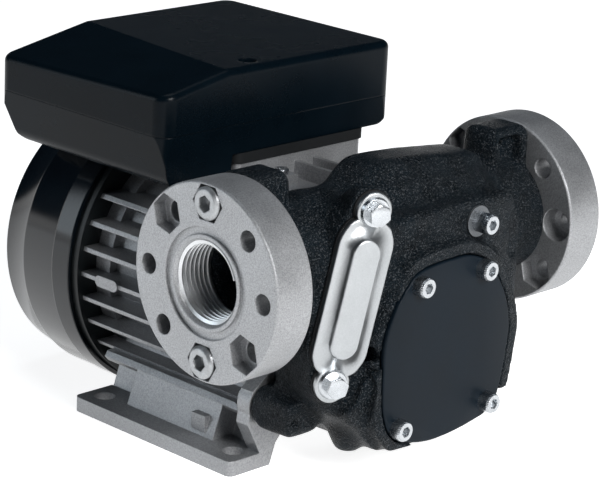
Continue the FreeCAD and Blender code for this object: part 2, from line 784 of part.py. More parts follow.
def make_box_gasket():
    z0 = shallow_z - box_gasket_t
    plate = box(pedestal_x0 - 1, pedestal_x1 + 1, pedestal_y0 - 1, pedestal_y1 + 1, z0, shallow_z)
    plate = round_lines(plate, 4.0, V(0, 0, 1))
    holes = [rod_z(box_screw_r + 0.3, z0 - 1, shallow_z + 1, x, y) for x, y in box_screw_points()]
    return plate.cut(holes + [wire_hole(z0 - 1, shallow_z + 1)])


def make_box_fixing_screws():
    floor = shallow_z + box_wall
    screw = cap_screw(3.6, 2.6, box_screw_r - seat_clearance, 14)
    return group([place(screw, V(x, y, floor), V(0, 0, 1)) for x, y in box_screw_points()])


def make_lid_screw():
    screw = cap_screw(lid_head_r, lid_head_h, lid_screw_r - seat_clearance, lid_screw_seat_z - shallow_z - 6)
    return place(screw, V(lid_screw_x, lid_screw_y, lid_screw_seat_z), V(0, 0, 1))


def make_capacitor():
    z = deep_z + box_wall + capacitor_r + 1.4
    can = rod_y(capacitor_r, capacitor_y, capacitor_y + capacitor_l, gland_x, z)
    can = round_face_rim(can, 1.5, lambda e: e.BoundBox.YLength < 0.01)
    tabs = [box(gland_x + dx - 3, gland_x + dx + 3, capacitor_y - 7, capacitor_y + 1, z - 0.4, z + 0.4)
            for dx in (-6, 6)]
    return can.fuse(tabs)


def make_capacitor_clip():
    z = deep_z + box_wall + capacitor_r + 1.4
    y0 = capacitor_y + clip_at
    y1 = y0 + clip_w
    strap = ring_y(capacitor_r + 1.3, capacitor_r + seat_clearance, y0, y1, gland_x, z)
    strap = strap.cut(box(gland_x - 9, gland_x + 9, y0 - 1, y1 + 1, z, z + 2 * capacitor_r))
    foot = box(gland_x - 7, gland_x + 7, y0, y1, deep_z + box_wall, z - capacitor_r + 1)
    foot = foot.cut(rod_y(capacitor_r + seat_clearance, y0 - 1, y1 + 1, gland_x, z))
    return strap.fuse(foot).removeSplitter()


def make_terminal_block():
    x0 = pedestal_x1 - terminal_w
    x1 = pedestal_x1
    y0 = pedestal_y0 + 4
    y1 = y0 + terminal_ways * terminal_pitch
    z0 = shallow_z + box_wall
    block = box(x0, x1, y0, y1, z0, z0 + terminal_low_h).fuse(box(x0 + 4, x1 - 4, y0, y1, z0, z0 + terminal_h))
    holes = [rod_z(2.2, z0 + 5, z0 + terminal_h + 2, (x0 + x1) / 2, y0 + terminal_pitch * (k + 0.5))
             for k in range(terminal_ways)]
    return block.cut(holes)


def make_cable_gland():
    y0 = box_y1
    hexed = place(hexagon(gland_af, 6), V(gland_x, y0, gland_z), V(0, 1, 0))
    thread = rod_y(gland_thread_r - seat_clearance, gland_inside - 5, y0 + 1, gland_x, gland_z)
    dome = turned_y([(0, y0 + 5), (8, y0 + 5), (8, y0 + 11), (6, y0 + 14), (0, y0 + 14)], gland_x, gland_z)
    return thread.fuse([hexed, dome]).cut(rod_y(gland_cable_r, box_y1 - 20, y0 + 20, gland_x, gland_z))


def make_gland_nut():
    nut = place(hexagon(gland_af, 4), V(gland_x, gland_inside - 4, gland_z), V(0, 1, 0))
    return nut.cut(rod_y(gland_thread_r, gland_inside - 6, gland_inside + 1, gland_x, gland_z))


def make_earth_screw():
    screw = cap_screw(3.4, 2.4, earth_screw_r - seat_clearance, 6)
    return place(screw, V(earth_x, earth_y, earth_z), V(0, 0, 1))


# Pump body: one iron casting that carries the ports, the pump chamber, the filter and the bypass

def body_outline():
    """The pump block seen from the front, as (x, z) corners."""
    return [(-38, 112), (44, 112), (51, 100), (51, 47), (44, 25), (30, 15), (-16, 12.5), (-30, 15.5),
            (-52, 36), (-53, 80)]


def flange_lug():
    """The ears behind the outlet flange that take its two screws, the upper one with a cored pocket and a
    small hole from it to the screw."""
    x1 = flange_span / 2 - flange_t
    x0 = x1 - lug_l
    top = port_z + flange_pcd / 2 + 7.5
    lug = box(x0, x1, -14, 6, port_z, top)
    lug = round_lines(lug, 5, V(1, 0, 0), lambda e: e.CenterOfMass.z > top - 1)
    lug = round_face_rim(lug, 3, lambda e: e.BoundBox.XMax < x0 + 0.01 and e.CenterOfMass.z > port_z + 20)
    pocket = box(x0 + 2.5, x1 - 4, -15, -7, port_z + 21.5, top - 3.5)
    peep_hole = rod_y(2.25, -8, 0, (x0 + x1) / 2, port_z + flange_pcd / 2)
    low = box(x0 - 2, x1, -10, 10, port_z - flange_pcd / 2 - 8, port_z)
    low = round_lines(low, 6, V(1, 0, 0), lambda e: e.CenterOfMass.z < port_z - 30)
    return lug.cut([pocket, peep_hole]).fuse(low)


def filter_normal():
    return V(-sin(radians(filter_turn)), -cos(radians(filter_turn)), 0)


def on_filter_face(shape, lift=0.0):
    """Puts a shape built on +Z, long along X, on the filter face, lifted off it by an amount."""
    n = filter_normal()
    lean = radians(filter_lean)
    sideways = V(0, 0, 1).cross(n)
    along = V(0, 0, 1) * cos(lean) + sideways * sin(lean)
    centre = V(filter_x, filter_y, filter_z)
    return place_on(shape, centre + n * lift, along, n.cross(along))


def filter_shape(grow, depth):
    """The filter cover's outline: a wide slot that narrows to an ear round each screw."""
    middle = obround(filter_w + 2 * grow, filter_screw_gap - 4 + 2 * grow, depth)
    ears = [Part.makeCylinder(filter_ear_r + grow, depth, V(side * filter_screw_gap / 2, 0, 0))
            for side in (-1, 1)]
    return middle.fuse(ears).removeSplitter()


def filter_screw_holes(radius, z0, depth):
    return [Part.makeCylinder(radius, depth, V(side * filter_screw_gap / 2, 0, z0)) for side in (-1, 1)]


def filter_boss():
    """The boss behind the filter cover, cut back behind its top so that it runs into the crown."""
    boss = filter_shape(filter_boss_margin, filter_boss_depth)
    tip = filter_screw_gap / 2 + filter_ear_r + filter_boss_margin
    top = filter_boss_depth
    corners = [V(tip + 1, -30, top - 4), V(tip + 40, -30, top - 4), V(tip + 40, -30, -1),
               V(tip - 20, -30, -1)]
    slope = Part.Face(Part.makePolygon(corners + corners[:1])).extrude(V(0, 60, 0))
    return on_filter_face(boss.cut(slope), -filter_gasket_t - filter_boss_depth)


def make_pump_body():
    half = flange_span / 2 - flange_t
    back_y = housing_front - 6
    block = prism_y(body_outline(), body_front, back_y)
    block = round_lines(block, 6, V(0, 1, 0))
    block = round_face_rim(block, 4, lambda e: e.BoundBox.YMax < body_front + 0.01)
    crown = rod_x(crown_r, -48, 50, 0, crown_z)
    pad = prism_y([(-24, port_z), (-24, port_z + 31), (-14, port_z + 37.5), (10, port_z + 36.5),
                   (50, port_z + 32.5), (50, port_z)], -15, housing_front - 1)
    pad = round_lines(pad, 6, V(0, 1, 0), lambda e: e.CenterOfMass.z > port_z + 20)
    pad = round_face_rim(pad, 2.5, lambda e: e.BoundBox.YMax < -14.9 and e.CenterOfMass.z > port_z + 15)
    ledge = prism_y([(-18, port_z), (-18, port_z + 28), (-12, port_z + 31), (38, port_z + 28),
                     (44, port_z + 25), (44, port_z)], -22, -10)
    ledge = round_face_rim(ledge, 2.5, lambda e: e.BoundBox.YMax < -21.9 and e.CenterOfMass.z > port_z + 15)
    upper_ears = [rod_y(stud_ear_r, housing_front - 14, housing_front, x, z)
                  for x, z in body_screw_points()[2:]]
    lower_lugs = []
    for side in (-1, 1):
        lug = box(min(side * 40, side * 59), max(side * 40, side * 59), -12, housing_front - 4, 20, 35.5)
        lower_lugs.append(round_lines(lug, 4, V(0, 1, 0)))
    lower_lugs += [rod_y(stud_ear_r, -4, housing_front, x, z) for x, z in body_screw_points()[:2]]
    sample_hole = rod_y(1.5, -13, -8, -54.5, 26.5)
    drain = turned([(0, 0), (4.5, 0), (6, 2), (9, 9), (9, 26), (0, 26)])
    drain.translate(V(-30.5, -18.5, 12))
    rim = cover_prism(rim_gap + rim_w, body_front - rim_h, body_front + 6)
    rim = rim.cut([box(-60, 60, body_front - 20, body_front + 20, 0, 15.5),
                   box(-8, 60, body_front - 20, body_front + 20, 0, 29)])
    neck = rod_x(neck_r, -half, half)
    spigot = rod_y(front_flange_r, back_y, housing_front)
    solid = block.fuse([neck, spigot, crown, pad, ledge, filter_boss(), drain, rim, flange_lug(),
                        half_turn(flange_lug())] + upper_ears + lower_lugs)
    return solid.cut([room_for_motor(), sample_hole] + body_hollows()).removeSplitter()


def room_for_motor():
    """Everything behind the joint face that the motor's front end and its ears stand in."""
    y1 = housing_front + 30
    room = rod_y(front_flange_r + 1, housing_front, y1)
    ears = [rod_y(stud_ear_r + 1, housing_front, y1, x, z) for x, z in body_screw_points()]
    fins = rod_y(fin_tip_r + 1, housing_front + front_flange_t, y1)
    return room.fuse(ears + [fins, box(-46, 46, housing_front, y1, motor_z, port_z + 50)])


def body_hollows():
    """Everything that is cored or drilled out of the pump body."""
    half = flange_span / 2 - flange_t
    c = eccentricity
    duct_y = (body_front + chamber_back) / 2
    hollows = [cover_prism(rim_gap, body_front - 20, body_front),
               rod_y(pump_chamber_r, body_front - 1, chamber_back, c),
               ring_y(seal_groove_out, seal_groove_in, body_front - 1, body_front + seal_groove_depth, c),
               rod_y(seal_journal_r + running_clearance, chamber_back - 1, housing_front + 1),
               rod_y(seal_r + seat_clearance, 2.0, housing_front + 1),
               rod_x(chamber_r, -half - 1, -chamber_end), rod_x(chamber_r, chamber_end, half + 1),
               rod_x(tunnel_r, -chamber_end - 1, chamber_end + 1, tunnel_y, tunnel_z),
               rod_x(8, -50, c - 12, duct_y, motor_z),
               rod_x(7, c + 12, 38, duct_y + 4, motor_z + 3),
               rod_z(7, motor_z + 3, port_z, 36, duct_y + 10),
               place(obround(6.5, 23, 3), V(46.3, body_front - 1.2, 94), V(0, 1, 0), 90),
               rod_y(cap_shank_r, body_front - 1, body_front + 13, vent_x, vent_z),
               rod_y(washer_r + 0.5, body_front - 5, body_front + 0.6, vent_x, vent_z)]
    hollows += [rod_y(cap_shank_r, body_front - 1, body_front + 11, x, z) for x, z in cover_screw_points()]
    hollows += [rod_y(cap_shank_r, housing_front - 12, housing_front + 1, x, z)
                for x, z in body_screw_points()]
    pocket_depth_all = filter_pocket_depth + filter_gasket_t
    pocket = obround(filter_pocket_w, filter_pocket_l, pocket_depth_all + 2)
    hollows.append(on_filter_face(pocket, -pocket_depth_all))
    hollows.append(on_filter_face(filter_shape(filter_boss_margin + 3, 14), -filter_gasket_t))
    hollows += [on_filter_face(hole) for hole in filter_screw_holes(cap_shank_r, -13, 14)]
    seal_groove = rod_x(ring_seal_out, half - ring_seal_t, half + 1)
    seal_groove = seal_groove.cut(rod_x(ring_seal_in, half - 5, half + 5))
    ends = [seal_groove]
    for dz in (-flange_pcd / 2, flange_pcd / 2):
        ends.append(rod_x(flange_screw_r, half - flange_screw_l, half + 1, 0, port_z + dz))
    return hollows + ends + [half_turn(end) for end in ends]


# Flanges and their screws, built for the inlet end and turned round for the outlet

def on_inlet_end(shape):
    """Puts a shape built on +Z on the inlet end's flange seat, pointing outwards."""
    return place_on(shape, V(-flange_span / 2 + flange_t, 0, port_z), V(0, -1, 0), V(0, 0, 1))


def round_the_pcd(shape, angle, z, turn=90.0):
    """Moves a shape built on +Z to the bolt circle at an angle and a height."""
    moved = shape.copy()
    moved.rotate(V(0, 0, 0), V(0, 0, 1), angle + turn)
    r = flange_pcd / 2
    moved.translate(V(r * cos(radians(angle)), r * sin(radians(angle)), z))
    return moved


def make_inlet_flange():
    t = flange_t
    edge = 0.6
    lead_in = 1.2
    disc = turned([(thread_r, 0), (flange_r - edge, 0), (flange_r, edge), (flange_r, t - edge),
                   (flange_r - edge, t), (face_groove_out, t), (face_groove_out, t - face_groove_depth),
                   (face_groove_in, t - face_groove_depth), (face_groove_in, t), (thread_r + lead_in, t),
                   (thread_r, t - lead_in)])
    hex_pocket = hexagon(pocket_af, pocket_depth + 1)
    cuts = [round_the_pcd(Part.makeCylinder(flange_hole_r, t + 2), 45 * k, -1) for k in range(8)]
    cuts += [round_the_pcd(hex_pocket, angle, t - pocket_depth) for angle in (90, 270, 135, 315)]
    cuts += [round_the_pcd(hex_pocket, angle, -1) for angle in (45, 225)]
    counterbore = Part.makeCylinder(counterbore_r, counterbore_depth + 1)
    cuts += [round_the_pcd(counterbore, angle, -1) for angle in (0, 180)]
    return on_inlet_end(disc.cut(cuts))


def make_inlet_flange_screws():
    h = pan_head_h
    r = pan_head_r
    shank = flange_t - pocket_depth + flange_screw_l - 1
    shank_r = flange_screw_r - seat_clearance
    screw = turned([(0, -shank), (shank_r, -shank), (shank_r, 0), (r, 0), (r, h - 2.2), (r - 1, h - 0.8),
                    (r - 2.6, h), (0, h)])
    socket = hexagon(6.0, 4)
    socket.translate(V(0, 0, h - 3))
    screw = screw.cut(socket)
    seat = flange_t - pocket_depth
    return on_inlet_end(group([round_the_pcd(screw, angle, seat) for angle in (90, 270)]))


def make_inlet_seal_ring():
    half = flange_span / 2 - flange_t
    return rod_x(ring_seal_out, -half, -half + ring_seal_t).cut(rod_x(ring_seal_in, -half - 1, -half + 5))


# Pump cover, vent screw, rotor, key and vanes

def make_pump_cover():
    plate = cover_prism(0, body_front - cover_plate_t, body_front)
    plate = round_face_rim(plate, 0.7, lambda e: e.BoundBox.YMax < body_front - cover_plate_t + 0.01)
    holes = [rod_y(cap_shank_r + 0.2, body_front - cover_plate_t - 1, body_front + 1, x, z)
             for x, z in cover_screw_points()]
    return plate.cut(holes)


def make_cover_screws():
    screw = cap_screw(cap_head_r, cap_head_h, cap_shank_r - seat_clearance, cap_shank_l)
    face = body_front - cover_plate_t
    return group([place(screw, V(x, face, z), V(0, -1, 0)) for x, z in cover_screw_points()])


def make_cover_seal():
    return ring_y(seal_groove_out, seal_groove_in, body_front, body_front + seal_groove_depth, eccentricity)


def make_vent_washer():
    y1 = body_front + 0.6
    return ring_y(washer_r, cap_shank_r + 0.2, y1 - washer_t, y1, vent_x, vent_z)


def make_vent_screw():
    screw = cap_screw(cap_head_r, cap_head_h, cap_shank_r - seat_clearance, 12)
    return place(screw, V(vent_x, body_front + 0.6 - washer_t, vent_z), V(0, -1, 0))


def make_body_screws():
    screw = cap_screw(cap_head_r, 5, cap_shank_r - seat_clearance, front_flange_t + 11)
    back = housing_front + front_flange_t
    return group([place(screw, V(x, back, z), V(0, 1, 0)) for x, z in body_screw_points()])


def turned_to(shape, angle):
    """Turns a shape about the motor axis, from the +X side up towards +Z by an angle."""
    moved = shape.copy()
    moved.rotate(V(0, 0, motor_z), V(0, 1, 0), -angle)
    return moved


def make_pump_rotor():
    y0 = body_front + axial_clearance
    y1 = chamber_back - axial_clearance
    rotor = ring_y(pump_rotor_r, pump_journal_r, y0, y1)
    half = vane_t / 2 + running_clearance
    slot = box(vane_slot_root_r, pump_rotor_r + 2, y0 - 1, y1 + 1, motor_z - half, motor_z + half)
    slots = [turned_to(slot, vane_angle(k)) for k in range(vane_count)]
    return rotor.cut(slots + [key_block(seat_clearance)])


def vane_angle(k):
    return vane_first_angle + 360.0 / vane_count * (k + 0.5)


def make_vane(k):
    y0 = body_front + 2 * axial_clearance
    y1 = chamber_back - 2 * axial_clearance
    tip = pump_rotor_r - axial_clearance
    blade = box(tip - vane_length, tip + 1, y0, y1, motor_z - vane_t / 2, motor_z + vane_t / 2)
    return turned_to(blade.common(rod_y(tip, y0, y1)), vane_angle(k))


# Filter

def make_filter_cover():
    plate = filter_shape(0, filter_plate_t)
    plate = round_face_rim(plate, 0.8, lambda e: e.BoundBox.ZMin > filter_plate_t - 0.01)
    panel = obround(filter_panel_w, filter_panel_l, filter_panel_h + 1)
    panel = round_face_rim(panel, 1.2, lambda e: e.BoundBox.ZMin > filter_panel_h + 0.99)
    panel.translate(V(0, 0, filter_plate_t - 1))
    plate = plate.fuse(panel).cut(filter_screw_holes(cap_shank_r + 0.2, -1, filter_plate_t + 2))
    return on_filter_face(plate)


def make_filter_gasket():
    gasket = filter_shape(0.4, filter_gasket_t)
    opening = obround(filter_pocket_w, filter_pocket_l, 3)
    gasket = gasket.cut([opening] + filter_screw_holes(cap_shank_r + 0.2, -1, 4))
    return on_filter_face(gasket, -filter_gasket_t)


def make_filter_screws():
    shank = filter_plate_t + 11
    shank_r = cap_shank_r - seat_clearance
    head = turned([(0, -shank), (shank_r, -shank), (shank_r, 0), (hex_flange_r, 0),
                   (hex_flange_r, hex_flange_t * 0.6), (hex_flange_r - 1, hex_flange_t), (0, hex_flange_t)])
    hexed = hexagon(hex_head_af, hex_head_h)
    crown = turned([(0, 0), (hex_head_af / 2 + 0.8, 0), (hex_head_af / 2 + 0.8, hex_head_h - 0.7),
                    (hex_head_af / 2 - 0.3, hex_head_h), (0, hex_head_h)])
    screw = head.fuse(hexed.common(crown)).removeSplitter()
    screws = []
    for side in (-1, 1):
        one = screw.copy()
        one.translate(V(side * filter_screw_gap / 2, 0, filter_plate_t))
        screws.append(one)
    return on_filter_face(group(screws))


def make_filter_screen():
    """A slotted basket that hangs in the filter pocket from its collar under the cover."""
    w = filter_pocket_w - 2 * seat_clearance
    l = filter_pocket_l - 2 * seat_clearance
    collar = obround(w, l, 1.5)
    collar.translate(V(0, 0, -1.5))
    basket = obround(w - 2.4, l - 2.4, screen_depth)
    basket.translate(V(0, 0, -screen_depth))
    inside = obround(w - 2.4 - 2 * screen_t, l - 2.4 - 2 * screen_t, screen_depth)
    inside.translate(V(0, 0, -screen_depth + screen_t))
    cuts = [inside]
    count = 7
    pitch = (l - w) / count
    for k in range(count):
        x = -(l - w) / 2 + pitch * (k + 0.5)
        corner = V(x - pitch * 0.27, -w / 2, -screen_depth + 2)
        cuts.append(Part.makeBox(pitch * 0.55, w, screen_depth - 5, corner))
    return on_filter_face(collar.fuse(basket).cut(cuts))


# Bypass valve in the tunnel between the two port chambers

def tunnel_rod(r, x0, x1):
    return rod_x(r, x0, x1, tunnel_y, tunnel_z)


def make_bypass_carrier():
    x0 = seat_x + 3 - carrier_l
    inner = tunnel_r - carrier_wall
    tube = tunnel_rod(tunnel_r - seat_clearance, x0, seat_x + 3).cut(tunnel_rod(inner, x0 + spider_t, seat_x))
    windows = []
    for k in range(3):
        window = rod_x(2.2, x0 - 1, x0 + spider_t + 1, tunnel_y + inner - 2.4, tunnel_z)
        window.rotate(V(0, tunnel_y, tunnel_z), V(1, 0, 0), 120 * k)
        windows.append(window)
    return tube.cut(windows + [tunnel_rod(seat_bore_r, seat_x - 1, seat_x + 4),
                               tunnel_rod(stem_r + running_clearance, x0 - 1, x0 + spider_t + 1)])


def make_bypass_poppet():
    x0 = seat_x + 3 - carrier_l
    face = seat_x - running_clearance
    disc = tunnel_rod(poppet_r, face - poppet_t, face)
    return disc.fuse(tunnel_rod(stem_r, x0 - stem_out, face)).removeSplitter()


def make_bypass_spring():
    x0 = seat_x + 3 - carrier_l + spider_t + spring_wire_r
    x1 = seat_x - running_clearance - poppet_t - spring_wire_r
    length = x1 - x0
    helix = Part.makeHelix(length / spring_turns, length, spring_r)
    section = Part.Wire(Part.makeCircle(spring_wire_r, V(spring_r, 0, 0), V(0, 1, 0)))
    spring = Part.Wire(helix.Edges).makePipeShell([section], True, True)
    return place(spring, V(x0, tunnel_y, tunnel_z), V(1, 0, 0))


def write(name, shape):
    moved = shape.copy()
    moved.translate(V(0, -foot_centre_y, 0))
    moved.exportStep(os.path.join("parts", name + ".step"))


os.makedirs("parts", exist_ok=True)

write("motor_housing", make_motor_housing())
write("stator_core", make_stator_core())
write("stator_windings", make_stator_windings())
write("motor_shaft", make_motor_shaft())
write("rotor_core", make_rotor_core())
for end, bearing in (("front", front_bearing), ("rear", rear_bearing)):
    for name, shape in zip(("outer", "inner", "balls", "cage"), bearing_pieces(bearing)):
        write(end + "_bearing_" + name, shape)
write("shaft_seal", make_shaft_seal())
shield_screw = cap_screw(3.6, 3.2, shield_screw_r - seat_clearance, shield_t + 10)
shield_back = housing_rear + shield_t - 2
write("rear_shield", make_rear_shield())
shield_screws = [place(shield_screw, V(x, shield_back, z), V(0, 1, 0)) for x, z in shield_screw_points()]
write("rear_shield_screws", group(shield_screws))
write("fan_cover", make_fan_cover())
write("fan_cover_screws", make_fan_cover_screws())
write("fan", make_fan())
write("fan_clip", make_fan_clip())

write("box_base", make_box_base())
write("box_lid", make_box_lid())
write("lid_gasket", make_lid_gasket())
write("lid_screw", make_lid_screw())
write("box_gasket", make_box_gasket())
write("box_fixing_screws", make_box_fixing_screws())
write("capacitor", make_capacitor())
write("capacitor_clip", make_capacitor_clip())
write("terminal_block", make_terminal_block())
write("cable_gland", make_cable_gland())
write("gland_nut", make_gland_nut())
write("earth_screw", make_earth_screw())

write("pump_body", make_pump_body())
write("body_screws", make_body_screws())
write("pump_cover", make_pump_cover())
write("cover_screws", make_cover_screws())
write("cover_seal", make_cover_seal())
write("vent_screw", make_vent_screw())
write("vent_washer", make_vent_washer())
write("pump_rotor", make_pump_rotor())
write("rotor_key", key_block())
for k in range(vane_count):
    write("vane_%d" % (k + 1), make_vane(k))

write("filter_cover", make_filter_cover())
write("filter_gasket", make_filter_gasket())
write("filter_screws", make_filter_screws())
write("filter_screen", make_filter_screen())
write("bypass_carrier", make_bypass_carrier())
write("bypass_poppet", make_bypass_poppet())
write("bypass_spring", make_bypass_spring())

for name, shape in (("flange", make_inlet_flange()), ("flange_screws", make_inlet_flange_screws()),
                    ("seal_ring", make_inlet_seal_ring())):
    write("inlet_" + name, shape)
    write("outlet_" + name, half_turn(shape))
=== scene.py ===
import math

import bmesh
import bpy
import numpy as np
from mathutils import Matrix, Vector


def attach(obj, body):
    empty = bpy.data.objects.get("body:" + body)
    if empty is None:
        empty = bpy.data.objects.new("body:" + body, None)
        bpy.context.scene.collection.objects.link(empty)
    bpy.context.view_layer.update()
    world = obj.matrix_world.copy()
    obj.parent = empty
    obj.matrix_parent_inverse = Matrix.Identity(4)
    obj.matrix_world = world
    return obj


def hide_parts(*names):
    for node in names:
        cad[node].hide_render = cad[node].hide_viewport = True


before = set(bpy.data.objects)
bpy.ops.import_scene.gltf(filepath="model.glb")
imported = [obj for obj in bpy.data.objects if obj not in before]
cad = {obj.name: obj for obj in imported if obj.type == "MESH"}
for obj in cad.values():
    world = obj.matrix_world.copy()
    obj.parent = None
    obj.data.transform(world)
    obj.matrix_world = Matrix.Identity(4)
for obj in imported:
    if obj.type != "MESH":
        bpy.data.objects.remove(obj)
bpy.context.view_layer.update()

# Motor housing: one aluminium casting with its fins, feet and pedestal, blasted as it comes from the
# mould, so it is a flat silvery grey with a fine grain, and its edges are slightly broken.


def wire(tree, source, target):
    """Links one socket of a tree to another."""
    tree.links.new(source, target)


def add_node(tree, kind, inputs=(), **settings):
    """A node with its settings, and its inputs set from values or sockets."""
    node = tree.nodes.new(kind)
    for key, value in settings.items():
        setattr(node, key, value)
    for key, value in inputs:
        if isinstance(value, bpy.types.NodeSocket):
            wire(tree, value, node.inputs[key])
        else:
            node.inputs[key].default_value = value
    return node


def pattern(tree, kind, scale, detail=2.0, roughness=0.5):
    """A noise or cell texture on Object coordinates, with its scale in features per metre."""
    coords = tree.nodes.get("piece coordinates")
    if coords is None:
        coords = add_node(tree, "ShaderNodeTexCoord", name="piece coordinates")
    return add_node(tree, kind, (("Scale", scale), ("Detail", detail), ("Roughness", roughness),
                                 ("Vector", coords.outputs["Object"])))


def span(tree, source, low, high, to_low, to_high, curve="LINEAR"):
    """Spreads the range in which most of a pattern's values lie over another range."""
    inputs = (("Value", source), ("From Min", low), ("From Max", high), ("To Min", to_low),
              ("To Max", to_high))
    return add_node(tree, "ShaderNodeMapRange", inputs, interpolation_type=curve).outputs["Result"]


def blend(tree, first, second, share):
    """A colour between two others."""
    colours = (("A", first), ("B", second), ("Factor", share))
    return add_node(tree, "ShaderNodeMix", colours, data_type="RGBA").outputs["Result"]


def surface(name, colour, metallic=0.0, roughness=0.5, spread=0.1, patch=0.02, patch_depth=0.12, grain=0.0005,
            grain_depth=0.15, bump=0.3, height=0.00008, specular=0.5, edge=0.0003):
    """A procedural finish: slow patches and a fine grain in its colour and roughness, the grain in relief,
    and edges that catch the light over a small radius. Its lengths are in metres."""
    material = bpy.data.materials.new(name)
    material.use_nodes = True
    tree = material.node_tree
    shader = tree.nodes["Principled BSDF"]
    shader.inputs["Metallic"].default_value = metallic
    shader.inputs["Specular IOR Level"].default_value = specular
    slow = pattern(tree, "ShaderNodeTexNoise", 1.0 / patch, 3.0, 0.6).outputs["Fac"]
    fine = pattern(tree, "ShaderNodeTexNoise", 1.0 / grain, 2.0, 0.6).outputs["Fac"]
    darker = [c * (1 - patch_depth) for c in colour] + [1]
    paler = [min(1, c * (1 + patch_depth)) for c in colour] + [1]
    tone = blend(tree, darker, paler, span(tree, slow, 0.35, 0.65, 0, 1))
    fleck = span(tree, fine, 0.3, 0.7, 1 - grain_depth, 1 + grain_depth)
    shade = add_node(tree, "ShaderNodeVectorMath", operation="SCALE", name="flecks")
    wire(tree, tone, shade.inputs[0])
    wire(tree, fleck, shade.inputs["Scale"])
    wire(tree, shade.outputs["Vector"], shader.inputs["Base Color"])
    rough = span(tree, slow, 0.3, 0.7, max(0.02, roughness - spread), min(1.0, roughness + spread))
    wire(tree, rough, shader.inputs["Roughness"])
    relief = add_node(tree, "ShaderNodeBump", (("Strength", bump), ("Distance", height), ("Height", fine)),
                      name="relief")
    if edge:
        soft = add_node(tree, "ShaderNodeBevel", (("Radius", edge),), samples=4)
        wire(tree, soft.outputs["Normal"], relief.inputs["Normal"])
    wire(tree, relief.outputs["Normal"], shader.inputs["Normal"])
    return material


def give(material, *names):
    """Gives a finish to CAD nodes that keep their own shape."""
    for name in names:
        for holder in cad[name].material_slots:
            holder.material = material


cast_aluminium = surface("blasted cast aluminium", (0.34, 0.345, 0.355), metallic=0.7, roughness=0.5,
                         spread=0.08, patch=0.03, patch_depth=0.08, grain=0.0007, grain_depth=0.22, bump=0.6,
                         height=0.00018, edge=0.0006)
give(cast_aluminium, "motor_housing")

# Stator: a stack of stamped steel sheets shrunk into the housing, with enamelled copper windings through
# its slots and laced end turns at both ends. The rotor core is stamped from the same sheet.
stacked_sheets = surface("stacked electrical sheet", (0.24, 0.25, 0.27), metallic=0.9, roughness=0.45,
                         patch=0.01, grain=0.0006, grain_depth=0.25, bump=0.4, height=0.0001)
give(stacked_sheets, "stator_core", "rotor_core")
enamelled_copper = surface("enamelled copper wire", (0.52, 0.20, 0.07), metallic=0.8, roughness=0.35,
                           patch=0.008, grain=0.0009, grain_depth=0.3, bump=0.8, height=0.0003)
give(enamelled_copper, "stator_windings")

# Shaft, bearings, key, pump rotor and bypass poppet: turned and ground steel, with fine marks of the
# wheel. The bearings are pressed on the shaft, and the pump rotor slides on its key.
ground_steel = surface("ground steel", (0.55, 0.56, 0.57), metallic=1.0, roughness=0.28, spread=0.06,
                       patch=0.012, patch_depth=0.05, grain=0.0003, grain_depth=0.06, bump=0.15,
                       height=0.00003)
give(ground_steel, "motor_shaft", "rotor_key", "pump_rotor", "front_bearing_outer", "front_bearing_inner",
     "front_bearing_balls", "rear_bearing_outer", "rear_bearing_inner", "rear_bearing_balls", "bypass_poppet")

# Fan and ball cages: moulded of glass-filled nylon, grey with a dry sheen. The fan sits on the shaft's
# rear end, and each cage holds seven balls.
grey_nylon = surface("grey nylon", (0.22, 0.23, 0.24), roughness=0.5, patch=0.015, grain=0.0007,
                     grain_depth=0.1, bump=0.25, height=0.00005)
give(grey_nylon, "fan", "front_bearing_cage", "rear_bearing_cage")

# Rear shield: an aluminium casting painted satin black, which carries the rear bearing and closes the
# motor, held by four screws.
satin_paint = surface("satin black paint", (0.006, 0.008, 0.009), roughness=0.36, spread=0.05, patch=0.03,
                      patch_depth=0.2, grain=0.0007, grain_depth=0.1, bump=0.12, height=0.00004, specular=0.3)
give(satin_paint, "rear_shield")

# Screws of the shield and the fan cover, and the way that all screws with sockets are made: zinc-plated
# steel with hexagon sockets, some knurled finely round the head. One tree makes every size on its holes.
ports_y = 58.5
motor_z = 57
m4_shank, m5_shank, m8_shank = 1.98, 2.48, 3.98


def in_metres(x, y, z):
    """A place in the frame, from one in millimetres with its origin on the ports' axis."""
    return x / 1000, (y - ports_y) / 1000, z / 1000


def new_object(name, data):
    """An object of its own in the scene."""
    obj = bpy.data.objects.new(name, data)
    bpy.context.scene.collection.objects.link(obj)
    return obj


def plain_mesh(obj):
    """The mesh that an object's modifiers make, and the object is taken away."""
    result = bpy.data.meshes.new_from_object(obj.evaluated_get(bpy.context.evaluated_depsgraph_get()))
    bpy.data.objects.remove(obj)
    return result


def add_piece(name, mesh, material, body, replaces, sharp):
    """Makes a piece of a mesh, and hands it to its body and the CAD nodes it stands for."""
    mesh.name = name
    mesh.materials.clear()
    mesh.materials.append(material)
    mesh.shade_smooth()
    mesh.set_sharp_from_angle(angle=math.radians(sharp))
    obj = new_object(name, mesh)
    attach(obj, body)
    if replaces:
        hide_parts(*replaces)


def calc(tree, operation, a, b=0.0):
    """One step of arithmetic."""
    return add_node(tree, "ShaderNodeMath", ((0, a), (1, b)), operation=operation).outputs[0]


def times(tree, a, b):
    """One number times another."""
    return calc(tree, "MULTIPLY", a, b)


